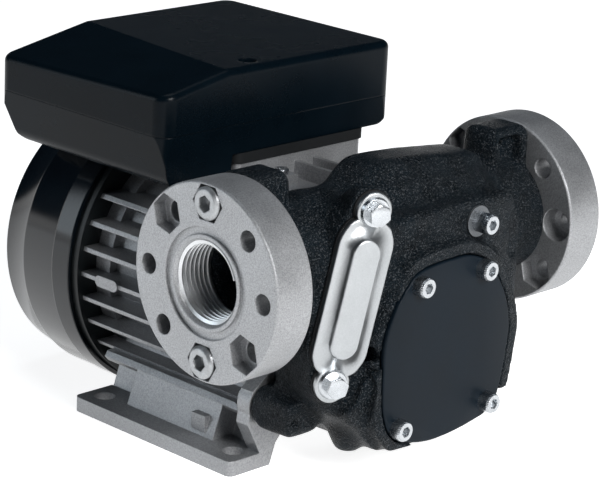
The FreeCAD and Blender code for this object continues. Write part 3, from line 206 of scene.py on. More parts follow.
def start_tree(name, sizes):
    """A geometry tree with named sizes, a finish and its two ends."""
    tree = bpy.data.node_groups.new(name, "GeometryNodeTree")
    tree.interface.new_socket("Geometry", in_out="INPUT", socket_type="NodeSocketGeometry")
    for size in sizes:
        tree.interface.new_socket(size, in_out="INPUT", socket_type="NodeSocketFloat")
    tree.interface.new_socket("Finish", in_out="INPUT", socket_type="NodeSocketMaterial")
    tree.interface.new_socket("Geometry", in_out="OUTPUT", socket_type="NodeSocketGeometry")
    return tree, tree.nodes.new("NodeGroupInput"), tree.nodes.new("NodeGroupOutput")


def on_points(tree, start, end, part):
    """Puts a part on every point, turned to its aim and by its turn, and gives it its finish."""
    aim = add_node(tree, "GeometryNodeInputNamedAttribute", (("Name", "aim"),), data_type="FLOAT_VECTOR")
    turn = add_node(tree, "GeometryNodeInputNamedAttribute", (("Name", "turn"),), data_type="FLOAT")
    align = add_node(tree, "FunctionNodeAlignRotationToVector", (("Vector", aim.outputs["Attribute"]),),
                     axis="Z")
    spin = add_node(tree, "FunctionNodeAxisAngleToRotation", (("Angle", turn.outputs["Attribute"]),))
    both = add_node(tree, "FunctionNodeRotateRotation",
                    (("Rotation", align.outputs[0]), ("Rotate By", spin.outputs[0])), rotation_space="LOCAL")
    spread = add_node(tree, "GeometryNodeInstanceOnPoints",
                      (("Points", start.outputs["Geometry"]), ("Instance", part),
                       ("Rotation", both.outputs[0])))
    real = add_node(tree, "GeometryNodeRealizeInstances", (("Geometry", spread.outputs[0]),))
    dressed = add_node(tree, "GeometryNodeSetMaterial",
                       (("Geometry", real.outputs[0]), ("Material", start.outputs["Finish"])))
    wire(tree, dressed.outputs[0], end.inputs["Geometry"])


def grown(tree, sizes, material, points, aims, turns=None):
    """Runs a tree on a few points and returns its plain mesh. With no turns given, each part stands turned
    a little further than the one before, as tightened screws do."""
    mesh = bpy.data.meshes.new("places")
    mesh.from_pydata([tuple(p) for p in points], [], [])
    aim = mesh.attributes.new("aim", "FLOAT_VECTOR", "POINT")
    aim.data.foreach_set("vector", np.array(aims, dtype=float).ravel())
    turn = mesh.attributes.new("turn", "FLOAT", "POINT")
    turn.data.foreach_set("value", np.array(turns or [0.4 * k for k in range(len(points))], dtype=float))
    obj = new_object("places", mesh)
    modifier = obj.modifiers.new("tree", "NODES")
    modifier.node_group = tree
    for item in tree.interface.items_tree:
        if item.in_out == "INPUT" and item.name in sizes:
            modifier[item.identifier] = sizes[item.name]
        elif item.in_out == "INPUT" and item.name == "Finish":
            modifier[item.identifier] = material
    return plain_mesh(obj)


def lifted(tree, shape, height):
    """A shape moved up its own axis."""
    step = add_node(tree, "ShaderNodeCombineXYZ", (("Z", height),))
    return add_node(tree, "GeometryNodeTransform",
                    (("Geometry", shape), ("Translation", step.outputs[0]))).outputs[0]


def cylinder(tree, vertices, radius, depth, rings=1):
    """A round bar, or a bar with a few flat sides."""
    return add_node(tree, "GeometryNodeMeshCylinder", (("Vertices", vertices), ("Side Segments", rings),
                    ("Radius", radius), ("Depth", depth))).outputs["Mesh"]


def hexagon(tree, width, depth):
    """A hexagonal bar, from its width across flats."""
    return cylinder(tree, 6, calc(tree, "DIVIDE", width, math.sqrt(3)), depth)


def with_shank(tree, size, *parts):
    """Joins a screw's plain shank to the parts of its head."""
    rod = cylinder(tree, 32, size["Shank Radius"], size["Shank Length"])
    whole = tree.nodes.new("GeometryNodeJoinGeometry")
    for part in (lifted(tree, rod, times(tree, size["Shank Length"], -0.5)), *parts):
        wire(tree, part, whole.inputs[0])
    return whole.outputs[0]


screw_sizes = ("Head Radius", "Head Height", "Shank Radius", "Shank Length", "Socket Width", "Socket Depth",
               "Top Edge", "Knurl")


def socket_screw_tree():
    """A round head with a broken top edge, fine grooves round its side and a hexagon socket in its top."""
    tree, start, end = start_tree("socket screws", screw_sizes)
    size = start.outputs
    grooves, top_from, grooves_to = 32, 0.95, 0.9
    blank = cylinder(tree, 96, size["Head Radius"], size["Head Height"], 6)
    head = lifted(tree, blank, times(tree, size["Head Height"], 0.5))
    place = add_node(tree, "GeometryNodeInputPosition")
    part = add_node(tree, "ShaderNodeSeparateXYZ", ((0, place.outputs[0]),)).outputs
    at_top = calc(tree, "GREATER_THAN", part["Z"], times(tree, size["Head Height"], top_from))
    shrink = times(tree, at_top, calc(tree, "DIVIDE", size["Top Edge"], size["Head Radius"]))
    below = calc(tree, "LESS_THAN", part["Z"], times(tree, size["Head Height"], grooves_to))
    wave = calc(tree, "SINE", times(tree, calc(tree, "ARCTAN2", part["Y"], part["X"]), grooves))
    deep = calc(tree, "DIVIDE", size["Knurl"], size["Head Radius"])
    cut = times(tree, calc(tree, "SUBTRACT", 1.0, wave), deep)
    inwards = times(tree, calc(tree, "ADD", shrink, times(tree, below, cut)), -1.0)
    shift = add_node(tree, "ShaderNodeCombineXYZ",
                     (("X", times(tree, part["X"], inwards)), ("Y", times(tree, part["Y"], inwards))))
    knurled = add_node(tree, "GeometryNodeSetPosition", (("Geometry", head), ("Offset", shift.outputs[0])))
    key = hexagon(tree, size["Socket Width"], times(tree, size["Socket Depth"], 2.0))
    broached = add_node(tree, "GeometryNodeMeshBoolean",
                        (("Mesh 1", knurled.outputs[0]), ("Mesh 2", lifted(tree, key, size["Head Height"]))),
                        operation="DIFFERENCE")
    on_points(tree, start, end, with_shank(tree, size, broached.outputs[0]))
    return tree


socket_screws = socket_screw_tree()
zinc_plate = surface("bright zinc plate", (0.54, 0.56, 0.58), metallic=1.0, roughness=0.27, spread=0.08,
                     patch=0.004, patch_depth=0.08, grain=0.0005, grain_depth=0.08, bump=0.25,
                     height=0.00004, edge=0.00015)


def add_socket_screws(node, points, aims, head, shank, socket, edge=0.5, knurl=0.0, finish=zinc_plate):
    """Screws with hexagon sockets, in millimetres, their heads standing on points given from the ports' axis.
    A head has a radius and a height, a shank a radius and a length, and a socket a width and a depth."""
    sizes = {name: value / 1000 for name, value in zip(screw_sizes, (*head, *shank, *socket, edge, knurl))}
    mesh = grown(socket_screws, sizes, finish, [in_metres(*point) for point in points], aims)
    add_piece("turned_" + node, mesh, finish, "housing", [node], 25)


def outwards(angles):
    """Aims away from the motor's axis."""
    return [(math.cos(math.radians(a)), 0, math.sin(math.radians(a))) for a in angles]


def round_motor(radius, angles, y):
    """Places on a circle round the motor's axis."""
    return [(radius * x, y, motor_z + radius * z) for x, _, z in outwards(angles)]


shield_angles, cover_angles = (38, 142, 218, 322), (40, 320)
add_socket_screws("rear_shield_screws", round_motor(46.5, shield_angles, 120), [(0, 1, 0)] * 4,
                  head=(3.6, 3.2), shank=(m4_shank, 16), socket=(3.0, 1.8))
add_socket_screws("fan_cover_screws", round_motor(62.5, cover_angles, 126), outwards(cover_angles),
                  head=(3.5, 2.2), shank=(m4_shank, 7), socket=(2.6, 1.3))
give(zinc_plate, "fan_clip", "box_fixing_screws", "earth_screw")

# Fan cover: deep-drawn sheet steel painted gloss black, with a stepped rim, a coned end, slots punched in
# its end for the air, and a flat along its underside that clears the floor. Outlines are radius and place.
cover_outside = [(56, 167), (57.9, 166.6), (59, 165.5), (61.0, 152.2), (61.7, 151.0), (62.0, 149.8),
                 (62.0, 131.3), (62.15, 130.7), (62.5, 130.3), (62.5, 120.3), (62.2, 120.0)]
cover_inside = [(60.8, 120.0), (60.5, 120.3), (60.5, 149), (57, 163.5), (53, 165)]
flat_outside, flat_inside = 0.6, 2.6
steps_round = 192
slots_round = 24
slot_rings = ((17.7, 33, 1.6), (36, 47.2, 2.2))
punch_y, punch_depth = 166, 8


def with_modifier(mesh, kind, **settings):
    """Runs a modifier on a mesh and returns the result."""
    obj = new_object("work", mesh)
    modifier = obj.modifiers.new("work", kind)
    for key, value in settings.items():
        setattr(modifier, key, value)
    return plain_mesh(obj)


def mesh_from(work, name):
    """A mesh from the shape worked on, which is then freed."""
    mesh = bpy.data.meshes.new(name)
    work.to_mesh(mesh)
    work.free()
    return mesh


def revolved_cover():
    """The sheet turned round the motor's axis, its underside pressed flat just over the floor."""
    work = bmesh.new()
    rings = []
    for line, floor_z in ((cover_outside, flat_outside), (cover_inside, flat_inside)):
        for radius, y in line:
            ring = []
            for k in range(steps_round):
                a = 2 * math.pi * k / steps_round
                z = max(motor_z + radius * math.sin(a), floor_z)
                ring.append(work.verts.new(in_metres(radius * math.cos(a), y, z)))
            rings.append(ring)
    for near, far in zip(rings, rings[1:]):
        for k in range(steps_round):
            after = (k + 1) % steps_round
            work.faces.new((near[k], near[after], far[after], far[k]))
    work.faces.new(rings[0])
    work.faces.new(rings[-1])
    bmesh.ops.recalc_face_normals(work, faces=work.faces)
    return mesh_from(work, "cover")


def slot_bars():
    """Bars that punch two rings of slots through the end of the cover."""
    work = bmesh.new()
    for k in range(slots_round):
        turn = Matrix.Rotation(2 * math.pi * k / slots_round, 4, "Y")
        for near, far, half in slot_rings:
            bar = bmesh.ops.create_cube(work, size=1.0)["verts"]
            size = Matrix.Diagonal(((far - near) / 1000, punch_depth / 1000, 2 * half / 1000, 1))
            middle = Matrix.Translation(in_metres(0, punch_y, motor_z))
            place = middle @ turn @ Matrix.Translation(((far + near) / 2000, 0, 0)) @ size
            bmesh.ops.transform(work, verts=bar, matrix=place)
    return mesh_from(work, "bars")


gloss_paint = surface("gloss black paint", (0.0025, 0.005, 0.008), roughness=0.14, spread=0.05, patch=0.05,
                      patch_depth=0.2, grain=0.0015, grain_depth=0.05, bump=0.05, height=0.00005,
                      specular=0.45, edge=0.0004)
punch = new_object("punch", slot_bars())
cover_mesh = with_modifier(revolved_cover(), "BOOLEAN", object=punch, operation="DIFFERENCE", solver="EXACT")
bpy.data.objects.remove(punch)
add_piece("drawn_fan_cover", cover_mesh, gloss_paint, "housing", ["fan_cover"], 30)

# Terminal box: base and lid moulded in black plastic with a fine eroded grain, met at a lipped seam, with
# a rubber gasket in it. The lid is held by one screw in a round recess and two hooks at the back.
black_plastic = surface("grained black plastic", (0.0015, 0.0045, 0.0075), roughness=0.28, spread=0.05,
                        patch=0.05, patch_depth=0.2, grain=0.0008, grain_depth=0.15, bump=0.25,
                        height=0.00005, specular=0.09, edge=0.001)
give(black_plastic, "box_base", "box_lid", "cable_gland", "gland_nut", "capacitor_clip")
add_socket_screws("lid_screw", [(-13, 66, 143)], [(0, 0, 1)],
                  head=(3.6, 2.6), shank=(m4_shank, 19.5), socket=(2.6, 1.5))

# Seals and gaskets: black nitrile rubber, dull and slightly dusty, moulded as rings or cut from sheet,
# and pressed into their grooves and seams.
black_rubber = surface("black nitrile rubber", (0.005, 0.006, 0.007), roughness=0.75, patch=0.01,
                       patch_depth=0.2, grain=0.0005, grain_depth=0.15, bump=0.4, height=0.00006,
                       specular=0.3)
give(black_rubber, "lid_gasket", "box_gasket", "cover_seal", "inlet_seal_ring", "outlet_seal_ring",
     "shaft_seal")

# Capacitor and terminal block: white moulded plastic inside the box, the capacitor held in its clip and
# the block beside it.
white_plastic = surface("white moulded plastic", (0.78, 0.78, 0.75), roughness=0.35, patch=0.02,
                        patch_depth=0.04, grain=0.001, grain_depth=0.03, bump=0.1, height=0.00004)
give(white_plastic, "capacitor", "terminal_block")

# Bypass carrier and spring: the carrier is turned brass, and the spring that holds the poppet on its seat
# is drawn steel wire, dark from its heat treatment.
turned_brass = surface("turned brass", (0.62, 0.44, 0.16), metallic=1.0, roughness=0.3, patch=0.006,
                       patch_depth=0.08, grain=0.0004, grain_depth=0.08, bump=0.2, height=0.00003)
give(turned_brass, "bypass_carrier")
spring_wire = surface("tempered spring wire", (0.30, 0.29, 0.28), metallic=1.0, roughness=0.35, patch=0.004,
                      grain=0.0003, grain_depth=0.1, bump=0.2, height=0.00003)
give(spring_wire, "bypass_spring")

# Vanes and strainer: machined and moulded acetal, ivory coloured. The five vanes slide in the rotor's
# slots, and the strainer stands in the filter's pocket.
ivory_acetal = surface("ivory acetal", (0.58, 0.54, 0.43), roughness=0.4, patch=0.01, patch_depth=0.06,
                       grain=0.0005, grain_depth=0.06, bump=0.15, height=0.00004)
give(ivory_acetal, "vane_1", "vane_2", "vane_3", "vane_4", "vane_5", "filter_screen")

# Pump body: an iron casting with soft corners, painted black over its coarse pebbled skin. The solid is
# given an even mesh, smoothed most where bosses run into each other, as a casting's corners do, and drawn
# to the outlines of the pump cover and the filter's cover that show. All its places are in millimetres.
casting_voxel = 0.00095
from_port = np.array([0, ports_y, 0])
turned_in, leaning = math.radians(22), math.radians(13)
filter_middle = np.array([-45.7, -29.8, 82.4])
filter_out = np.array([-math.sin(turned_in), -math.cos(turned_in), 0])
level_aside = np.array([math.cos(turned_in), -math.sin(turned_in), 0])
filter_along = math.cos(leaning) * np.array([0, 0, 1]) + math.sin(leaning) * level_aside
filter_aside = math.cos(leaning) * level_aside - math.sin(leaning) * np.array([0, 0, 1])
filter_half_width, filter_half_length, filter_seat = 15.5, 46, 37.75
filter_shorter, filter_narrower, filter_turn = 0.064, 0.124, 0.024
filter_rise, filter_shift, filter_fade = 0.6, 0.4, 4.5
boss_depth, boss_fade = 12, 8
ear_growth, ear_start, ear_fade = 0.24, 30, 5
cover_middle = np.array([3.0, 54.0])
cover_drawn = [(2.0, 91.5), (14.0, 91.2), (23.0, 90.0), (27.5, 87.9), (30.0, 83.0), (39.0, 52.0),
               (36.0, 30.0), (32.5, 22.0), (25.5, 18.3), (15.0, 16.2), (2.0, 15.5), (-11.0, 16.2),
               (-21.5, 18.3), (-28.5, 22.0), (-32.0, 30.0), (-35.0, 52.0), (-26.0, 83.0), (-23.5, 87.9),
               (-19.0, 90.0), (-10.0, 91.2)]
cover_seen = [(-5.8, 91.4), (-15.2, 90.2), (-20.5, 87.3), (-25.2, 81.9), (-29.1, 74.1), (-32.2, 66.7),
              (-33.9, 59.1), (-34.6, 50.5), (-34.5, 43.7), (-33.5, 36.0), (-31.5, 29.4), (-28.3, 23.9),
              (-23.3, 20.2), (-14.5, 17.3), (-1.9, 15.9), (13.8, 17.0), (25.5, 19.1), (31.8, 21.9),
              (35.9, 27.3), (38.7, 38.7), (40.5, 51.0), (40.1, 56.7), (36.7, 67.2), (32.3, 75.7),
              (27.4, 84.3), (20.5, 89.0), (12.5, 91.4), (4.7, 91.7)]
edge_zone = (0.8, 0.18, 1.35, 0.2)
rim_zone = (0.95, 0.03, 1.22, 0.05)
carried_zone = (1.012, 0.015, 1.115, 0.03)
plate_back_y, rim_foot_y, plate_front_y = -33.5, -35, -39.7
rim_growth, carried_y, carried_most = 3.5, -38.7, 5.5
carried_low, carried_high, carried_margin = (-60, -60, 52), (-20, -32, 78), 2
chamber_middle, chamber_radius, chamber_back_y = np.array([2, 57]), 23.5, -13
wall_from_y, wall_to_y, back_reach = -12.5, -36.5, 25
chamber_room, square_radius, square_back_y, square_reach = 0.4, 23.86, -12.65, 2.2


def pebbled_paint():
    """Paint over a skin of round pebbles and a fine grain, with small pale highlights painted into its
    colour.
    """
    material = surface("black paint on a pebbled casting", (0.0035, 0.0072, 0.0105), roughness=0.33,
                       spread=0.08, patch=0.012, patch_depth=0.3, grain=0.0009, grain_depth=0.3, bump=1.0,
                       height=0.0005, specular=0.14, edge=0.0)
    tree = material.node_tree
    shader = tree.nodes["Principled BSDF"]
    pebbles = pattern(tree, "ShaderNodeTexVoronoi", 1250.0)
    pebbles.feature = "SMOOTH_F1"
    pebbles.inputs["Smoothness"].default_value = 0.4
    skin = add_node(tree, "ShaderNodeBump", (("Strength", 1.0), ("Distance", 0.0006),
                                             ("Height", pebbles.outputs["Distance"]),
                                             ("Normal", tree.nodes["relief"].outputs["Normal"])), invert=True)
    wire(tree, skin.outputs["Normal"], shader.inputs["Normal"])
    # Painted highlights: small pale specks mixed into the base colour stand in for the paint shining on its
    # pebbles.
    painted_glint_mask = span(tree, pattern(tree, "ShaderNodeTexNoise", 1500.0, 1.0).outputs["Fac"], 0.56, 0.69, 0, 1)
    lit = blend(tree, tree.nodes["flecks"].outputs["Vector"], (0.07, 0.077, 0.084, 1), painted_glint_mask)
    wire(tree, lit, shader.inputs["Base Color"])
    return material


def merged_copy(node):
    """A CAD node's mesh with its loose triangles joined."""
    mesh = cad[node].data.copy()
    work = bmesh.new()
    work.from_mesh(mesh)
    bmesh.ops.remove_doubles(work, verts=work.verts, dist=2e-6)
    work.to_mesh(mesh)
    work.free()
    return mesh


def even_mesh(node, voxel):
    """A copy of a CAD node's mesh in even squares."""
    return with_modifier(merged_copy(node), "REMESH", mode="VOXEL", voxel_size=voxel)


def points_of(mesh):
    """A mesh's points, in metres."""
    points = np.empty(len(mesh.vertices) * 3)
    mesh.vertices.foreach_get("co", points)
    return points.reshape(-1, 3)


def put_points(mesh, points):
    """The mesh with its points moved to new places, in metres."""
    mesh.vertices.foreach_set("co", points.ravel())
    mesh.update()
    return mesh


def soften(mesh, rounds):
    """Smooths a mesh, each point by the number of rounds that a rule gives for its place."""
    points = points_of(mesh)
    count = len(points)
    edges = np.empty(len(mesh.edges) * 2, dtype=np.int64)
    mesh.edges.foreach_get("vertices", edges)
    a, b = edges.reshape(-1, 2).T
    links = np.bincount(a, minlength=count) + np.bincount(b, minlength=count)
    amount = rounds(points * 1000 + from_port)
    for step in range(int(math.ceil(amount.max()))):
        share = 0.5 * np.clip(amount - step, 0, 1)
        for axis in range(3):
            line = points[:, axis]
            total = np.bincount(a, line[b], count) + np.bincount(b, line[a], count)
            points[:, axis] = line + share * (total / links - line)
    return put_points(mesh, points)


def reshaped(mesh, rule):
    """Moves a mesh's points by a rule on their places."""
    return put_points(mesh, (rule(points_of(mesh) * 1000 + from_port) - from_port) / 1000)


def within(value, low, rise, high, fall):
    """1 between two values, rising to it after the first and falling from it before the second. A zone
    gives both and their lengths, as shares of the way from the cover's middle to its edge."""
    return np.clip((value - low) / rise, 0, 1) * np.clip((high - value) / fall, 0, 1)


def in_box(points, low, high, margin):
    """1 inside a box and falling to 0 over a margin outside it."""
    outside = np.maximum(np.maximum(np.array(low) - points, points - np.array(high)), 0).max(axis=1)
    return np.clip(1 - outside / margin, 0, 1)


def filter_drift(along, aside):
    """How far a place on the filter's cover moves, along the cover and across it."""
    return (-filter_shorter * along + filter_turn * aside + filter_rise,
            -filter_narrower * aside - filter_turn * along + filter_shift)


def filter_fit(points):
    """Draws the filter's cover and the face of its boss in to the narrower, shorter outline that shows."""
    place = points - filter_middle
    along, aside, lift = place @ filter_along, place @ filter_aside, place @ filter_out
    beyond = np.maximum(np.abs(aside) - filter_half_width, np.abs(along) - filter_half_length)
    share = np.clip(1 - np.maximum(beyond, 0) / filter_fade, 0, 1)
    share = share * np.clip((lift + boss_depth) / boss_fade, 0, 1)
    move_along, move_aside = filter_drift(along, aside)
    fitted = (points + (share * move_along)[:, None] * filter_along
              + (share * move_aside)[:, None] * filter_aside)
    for side in (-1, 1):
        seat_along, seat_aside = filter_drift(filter_seat * side, 0)
        seat = filter_middle + (filter_seat * side + seat_along) * filter_along + seat_aside * filter_aside
        near = np.clip((side * along - ear_start) / ear_fade, 0, 1) * share * ear_growth
        aim = fitted - seat
        aim = aim - (aim @ filter_out)[:, None] * filter_out
        fitted = fitted + near[:, None] * aim
    return fitted


def reach(edge, angles):
    """How far a smooth closed line through a few places lies from the cover's middle, at given angles."""
    ring = np.array(edge) - cover_middle
    before, after, beyond = np.roll(ring, 1, axis=0), np.roll(ring, -1, axis=0), np.roll(ring, -2, axis=0)
    slope, bend = after - before, 2 * before - 5 * ring + 4 * after - beyond
    twist = 3 * ring - before - 3 * after + beyond
    steps = np.linspace(0, 0.9, 10)
    line = np.concatenate([0.5 * (2 * ring + t * slope + t ** 2 * bend + t ** 3 * twist) for t in steps])
    turn = np.arctan2(line[:, 1], line[:, 0])
    order = np.argsort(turn)
    return np.interp(angles, turn[order], np.hypot(line[:, 0], line[:, 1])[order], period=2 * np.pi)


def cover_fit(points, rim_height=1.0):
    """Draws the pump cover's edge, and the casting's rim round it, to the outline that shows."""
    y = points[:, 1]
    aim = points[:, [0, 2]] - cover_middle
    angles, far = np.arctan2(aim[:, 1], aim[:, 0]), np.hypot(aim[:, 0], aim[:, 1])
    drawn = reach(cover_drawn, angles)
    ratio = far / drawn
    share = within(ratio, *edge_zone) * np.clip(plate_back_y - y, 0, 1)
    scale = 1 + share * (reach(cover_seen, angles) / drawn - 1)
    moved = cover_middle + aim * scale[:, None]
    front = y + np.minimum(y - rim_foot_y, 0) * within(ratio, *rim_zone) * (rim_height - 1)
    front = np.maximum(front, np.minimum(y, plate_front_y))
    return np.stack([moved[:, 0], front, moved[:, 1]], axis=1)


def rim_carried_on(points):
    """Carries the rim on past the filter's boss, at the cover's lower left."""
    aim = points[:, [0, 2]] - cover_middle
    ratio = np.hypot(aim[:, 0], aim[:, 1]) / reach(cover_seen, np.arctan2(aim[:, 1], aim[:, 0]))
    beside = in_box(points, carried_low, carried_high, carried_margin)
    step = np.clip(points[:, 1] - carried_y, 0, carried_most)
    points[:, 1] -= within(ratio, *carried_zone) * beside * step


def chamber_cleared(points):
    """Takes the chamber's wall and back a little off the vanes, and squares the corner between them."""
    out = points[:, [0, 2]] - chamber_middle
    far = np.hypot(out[:, 0], out[:, 1])
    wall = np.clip(2 - np.abs(far - chamber_radius), 0, 1)
    wall = wall * np.clip(wall_from_y - points[:, 1], 0, 1) * np.clip(points[:, 1] - wall_to_y, 0, 1)
    points[:, [0, 2]] += chamber_room * (wall / far)[:, None] * out
    back = np.clip(1.5 - np.abs(points[:, 1] - chamber_back_y), 0, 1) * np.clip(back_reach - far, 0, 1)
    points[:, 1] += chamber_room * back
    out = points[:, [0, 2]] - chamber_middle
    far = np.hypot(out[:, 0], out[:, 1])
    to_wall, to_back = square_radius - far, square_back_y - points[:, 1]
    corner = (to_wall > 0) & (to_wall < square_reach) & (to_back > 0) & (to_back < square_reach)
    points[:, [0, 2]] += (np.where(corner & (to_wall < to_back), to_wall, 0) / far)[:, None] * out
    points[:, 1] += np.where(corner & (to_wall >= to_back), to_back, 0)


def casting_fit(points):
    """Fits the casting to the pump cover, the vanes and the filter's cover."""
    points = cover_fit(points, rim_growth)
    rim_carried_on(points)
    chamber_cleared(points)
    return filter_fit(points)


def casting_corners(points):
    """Few rounds on machined places, more on the pad on top, on the filter's boss and at a lower corner."""
    pad = in_box(points, (-34, -27, 108), (52, 9, 140), 6)
    boss = in_box(points, (-64, -26, 40), (-38, 6, 130), 4)
    rim = in_box(points, (-40, -38, 14), (2, -33, 110), 2)
    corner = in_box(points, (-62, -29, 10), (-28, -5, 45), 3)
    return 5 + 75 * pad + 16 * boss - 3 * rim + 14 * corner


casting = reshaped(soften(even_mesh("pump_body", casting_voxel), casting_corners), casting_fit)
add_piece("painted_pump_casting", casting, pebbled_paint(), "housing", ["pump_body"], 180)
add_socket_screws("body_screws", [(-50, 17, 28), (50, 17, 28), (37, 17, 92), (-37, 17, 92)], [(0, 1, 0)] * 4,
                  head=(4.25, 5), shank=(m5_shank, 18), socket=(4, 2.5), knurl=0.12)

# Pump cover: a flat steel plate painted smooth satin black, on four knurled cap screws, with the vent
# screw and its dull washer above it.
smooth_paint = surface("smooth satin black paint", (0.0042, 0.009, 0.0145), roughness=0.40, spread=0.05,
                       patch=0.03, patch_depth=0.12, grain=0.0009, grain_depth=0.08, bump=0.12,
                       height=0.00004, specular=0.12, edge=0.0005)
add_piece("painted_pump_cover", reshaped(merged_copy("pump_cover"), cover_fit), smooth_paint, "housing",
          ["pump_cover"], 30)
cover_screw_places = [(-16.7, -40, 84.5), (21.1, -40, 84.2), (28.1, -40, 25.6), (-25.2, -40, 26.2)]
add_socket_screws("cover_screws", cover_screw_places, [(0, -1, 0)] * 4,
                  head=(4.25, 5.2), shank=(m5_shank, 14), socket=(4.0, 3.0), knurl=0.14)
dull_zinc = surface("dulled zinc plate", (0.16, 0.17, 0.18), metallic=0.8, roughness=0.5, patch=0.004,
                    patch_depth=0.15, grain=0.0005, grain_depth=0.15, bump=0.3, height=0.00005, edge=0.0002)
give(dull_zinc, "vent_washer")
add_socket_screws("vent_screw", [(22, -35.6, 103)], [(0, -1, 0)],
                  head=(4.25, 7.5), shank=(m5_shank, 12), socket=(4.0, 3.5), knurl=0.14)

# Filter cover: bright pressed sheet with a raised panel and an ear at each end, over a rubber gasket, on
# two hexagon screws with pressed flanges and crowned heads.
bright_sheet = surface("bright pressed sheet", (0.43, 0.445, 0.455), metallic=1.0, roughness=0.36,
                       spread=0.08, patch=0.01, patch_depth=0.05, grain=0.0006, grain_depth=0.06, bump=0.35,
                       height=0.00006, edge=0.0004)
add_piece("pressed_filter_cover", reshaped(merged_copy("filter_cover"), filter_fit), bright_sheet, "housing",
          ["filter_cover"], 30)
add_piece("cut_filter_gasket", reshaped(merged_copy("filter_gasket"), filter_fit), black_rubber, "housing",
          ["filter_gasket"], 30)
filter_screw_sizes = {"Flange Radius": 0.0062, "Flange Height": 0.0014, "Head Width": 0.008,
                      "Head Height": 0.0058, "Shank Radius": 0.00248, "Shank Length": 0.0136}
sheet_thickness = 2.6
crown_radius, crown_depth = 1.375, 1.3


def flanged_screw_tree():
    """A hexagon head under a wide crown, whose sizes are shares of the head's width, on a coned flange."""
    tree, start, end = start_tree("flanged screws", filter_screw_sizes)
    size = start.outputs
    flange = add_node(tree, "GeometryNodeMeshCone", (("Vertices", 64), ("Side Segments", 1),
                      ("Radius Bottom", size["Flange Radius"]), ("Depth", size["Flange Height"]),
                      ("Radius Top", times(tree, size["Flange Radius"], 0.9))))
    prism = hexagon(tree, size["Head Width"], size["Head Height"])
    dome = add_node(tree, "GeometryNodeMeshUVSphere", (("Segments", 64), ("Rings", 32),
                    ("Radius", times(tree, size["Head Width"], crown_radius))))
    centre = calc(tree, "SUBTRACT", size["Head Height"], times(tree, size["Head Width"], crown_depth))
    crowned = add_node(tree, "GeometryNodeMeshBoolean", operation="INTERSECT")
    wire(tree, lifted(tree, prism, times(tree, size["Head Height"], 0.5)), crowned.inputs["Mesh 2"])
    wire(tree, lifted(tree, dome.outputs["Mesh"], centre), crowned.inputs["Mesh 2"])
    on_points(tree, start, end, with_shank(tree, size, flange.outputs["Mesh"], crowned.outputs[0]))
    return tree


seats_drawn = [filter_middle + filter_seat * side * filter_along + sheet_thickness * filter_out
               for side in (-1, 1)]
seats = (filter_fit(np.array(seats_drawn)) - from_port) / 1000
filter_screw_mesh = grown(flanged_screw_tree(), filter_screw_sizes, zinc_plate, seats,
                          [tuple(filter_out)] * 2, [0.9, 0.25])
add_piece("flanged_filter_screws", filter_screw_mesh, zinc_plate, "housing",
          ["filter_screws"], 25)

# Port flanges: loose aluminium castings, blasted outside, with a machined seat round a tapped port and two
# large screws in hexagonal pockets. Their threads are a ridge wound on the bore.
flange_finish = surface("blasted die-cast aluminium", (0.40, 0.405, 0.415), metallic=0.75, roughness=0.48,
                        spread=0.08, patch=0.03, patch_depth=0.08, grain=0.0006, grain_depth=0.25, bump=0.6,
                        height=0.00016, edge=0.0009)
large_screw_zinc = surface("zinc plate on large screws", (0.40, 0.41, 0.42), metallic=0.9, roughness=0.38,
                           patch=0.005, patch_depth=0.12, grain=0.0006, grain_depth=0.12, bump=0.4,
                           height=0.00008, edge=0.0011)
cut_aluminium = surface("freshly cut aluminium", (0.72, 0.73, 0.74), metallic=0.85, roughness=0.36,
                        spread=0.06, patch=0.006, patch_depth=0.08, grain=0.0004, grain_depth=0.08, bump=0.2,
                        height=0.00004, edge=0.0001)
thread_sizes = {"Bore Radius": 0.0166, "Ridge Height": 0.0013, "Pitch": 0.002309, "Turns": 7.2}
ridge_corners = ((-0.15, -0.86), (1.0, -0.27), (1.0, 0.27), (-0.15, 0.86))
port_z, port_floor, seat_reach, screw_reach = 90.5, 77.5, 89.5, 32


def thread_tree():
    """A ridge wound on a bore. Its corners are shares of its height and of nearly half the pitch."""
    tree, start, end = start_tree("pipe thread", thread_sizes)
    size = start.outputs
    path = add_node(tree, "GeometryNodeCurveSpiral", (("Resolution", 72), ("Rotations", size["Turns"]),
                    ("Start Radius", size["Bore Radius"]), ("End Radius", size["Bore Radius"]),
                    ("Height", times(tree, size["Pitch"], size["Turns"]))))
    upright = add_node(tree, "GeometryNodeSetCurveNormal", (("Curve", path.outputs[0]),), mode="Z_UP")
    half = times(tree, size["Pitch"], 0.49)
    ridge = add_node(tree, "GeometryNodeCurvePrimitiveQuadrilateral", mode="POINTS")
    for number, (x, y) in enumerate(ridge_corners, 1):
        corner = add_node(tree, "ShaderNodeCombineXYZ",
                          (("X", times(tree, size["Ridge Height"], x)), ("Y", times(tree, half, y))))
        wire(tree, corner.outputs[0], ridge.inputs["Point %d" % number])
    wound = add_node(tree, "GeometryNodeCurveToMesh", (("Curve", upright.outputs[0]),
                     ("Profile Curve", ridge.outputs[0]), ("Fill Caps", True)))
    on_points(tree, start, end, wound.outputs[0])
    return tree


port_threads = thread_tree()
for port, side in (("inlet", -1), ("outlet", 1)):
    give(flange_finish, port + "_flange")
    screw_places = [(side * seat_reach, 0, port_z + rise) for rise in (screw_reach, -screw_reach)]
    add_socket_screws(port + "_flange_screws", screw_places, [(side, 0, 0)] * 2, head=(6.7, 7.6),
                      shank=(m8_shank, 27), socket=(6.0, 4.4), edge=1.2, finish=large_screw_zinc)
    thread_mesh = grown(port_threads, thread_sizes, cut_aluminium, [in_metres(side * port_floor, 0, port_z)],
                        [(side, 0, 0)], [0.0])
    add_piece(port + "_port_thread", thread_mesh, cut_aluminium, "housing", (), 20)

# Floor, surround, lamps and camera: a pale floor under a plain studio sky, with soft lamps in front, at the
# left and overhead, and the camera where the photograph was taken.


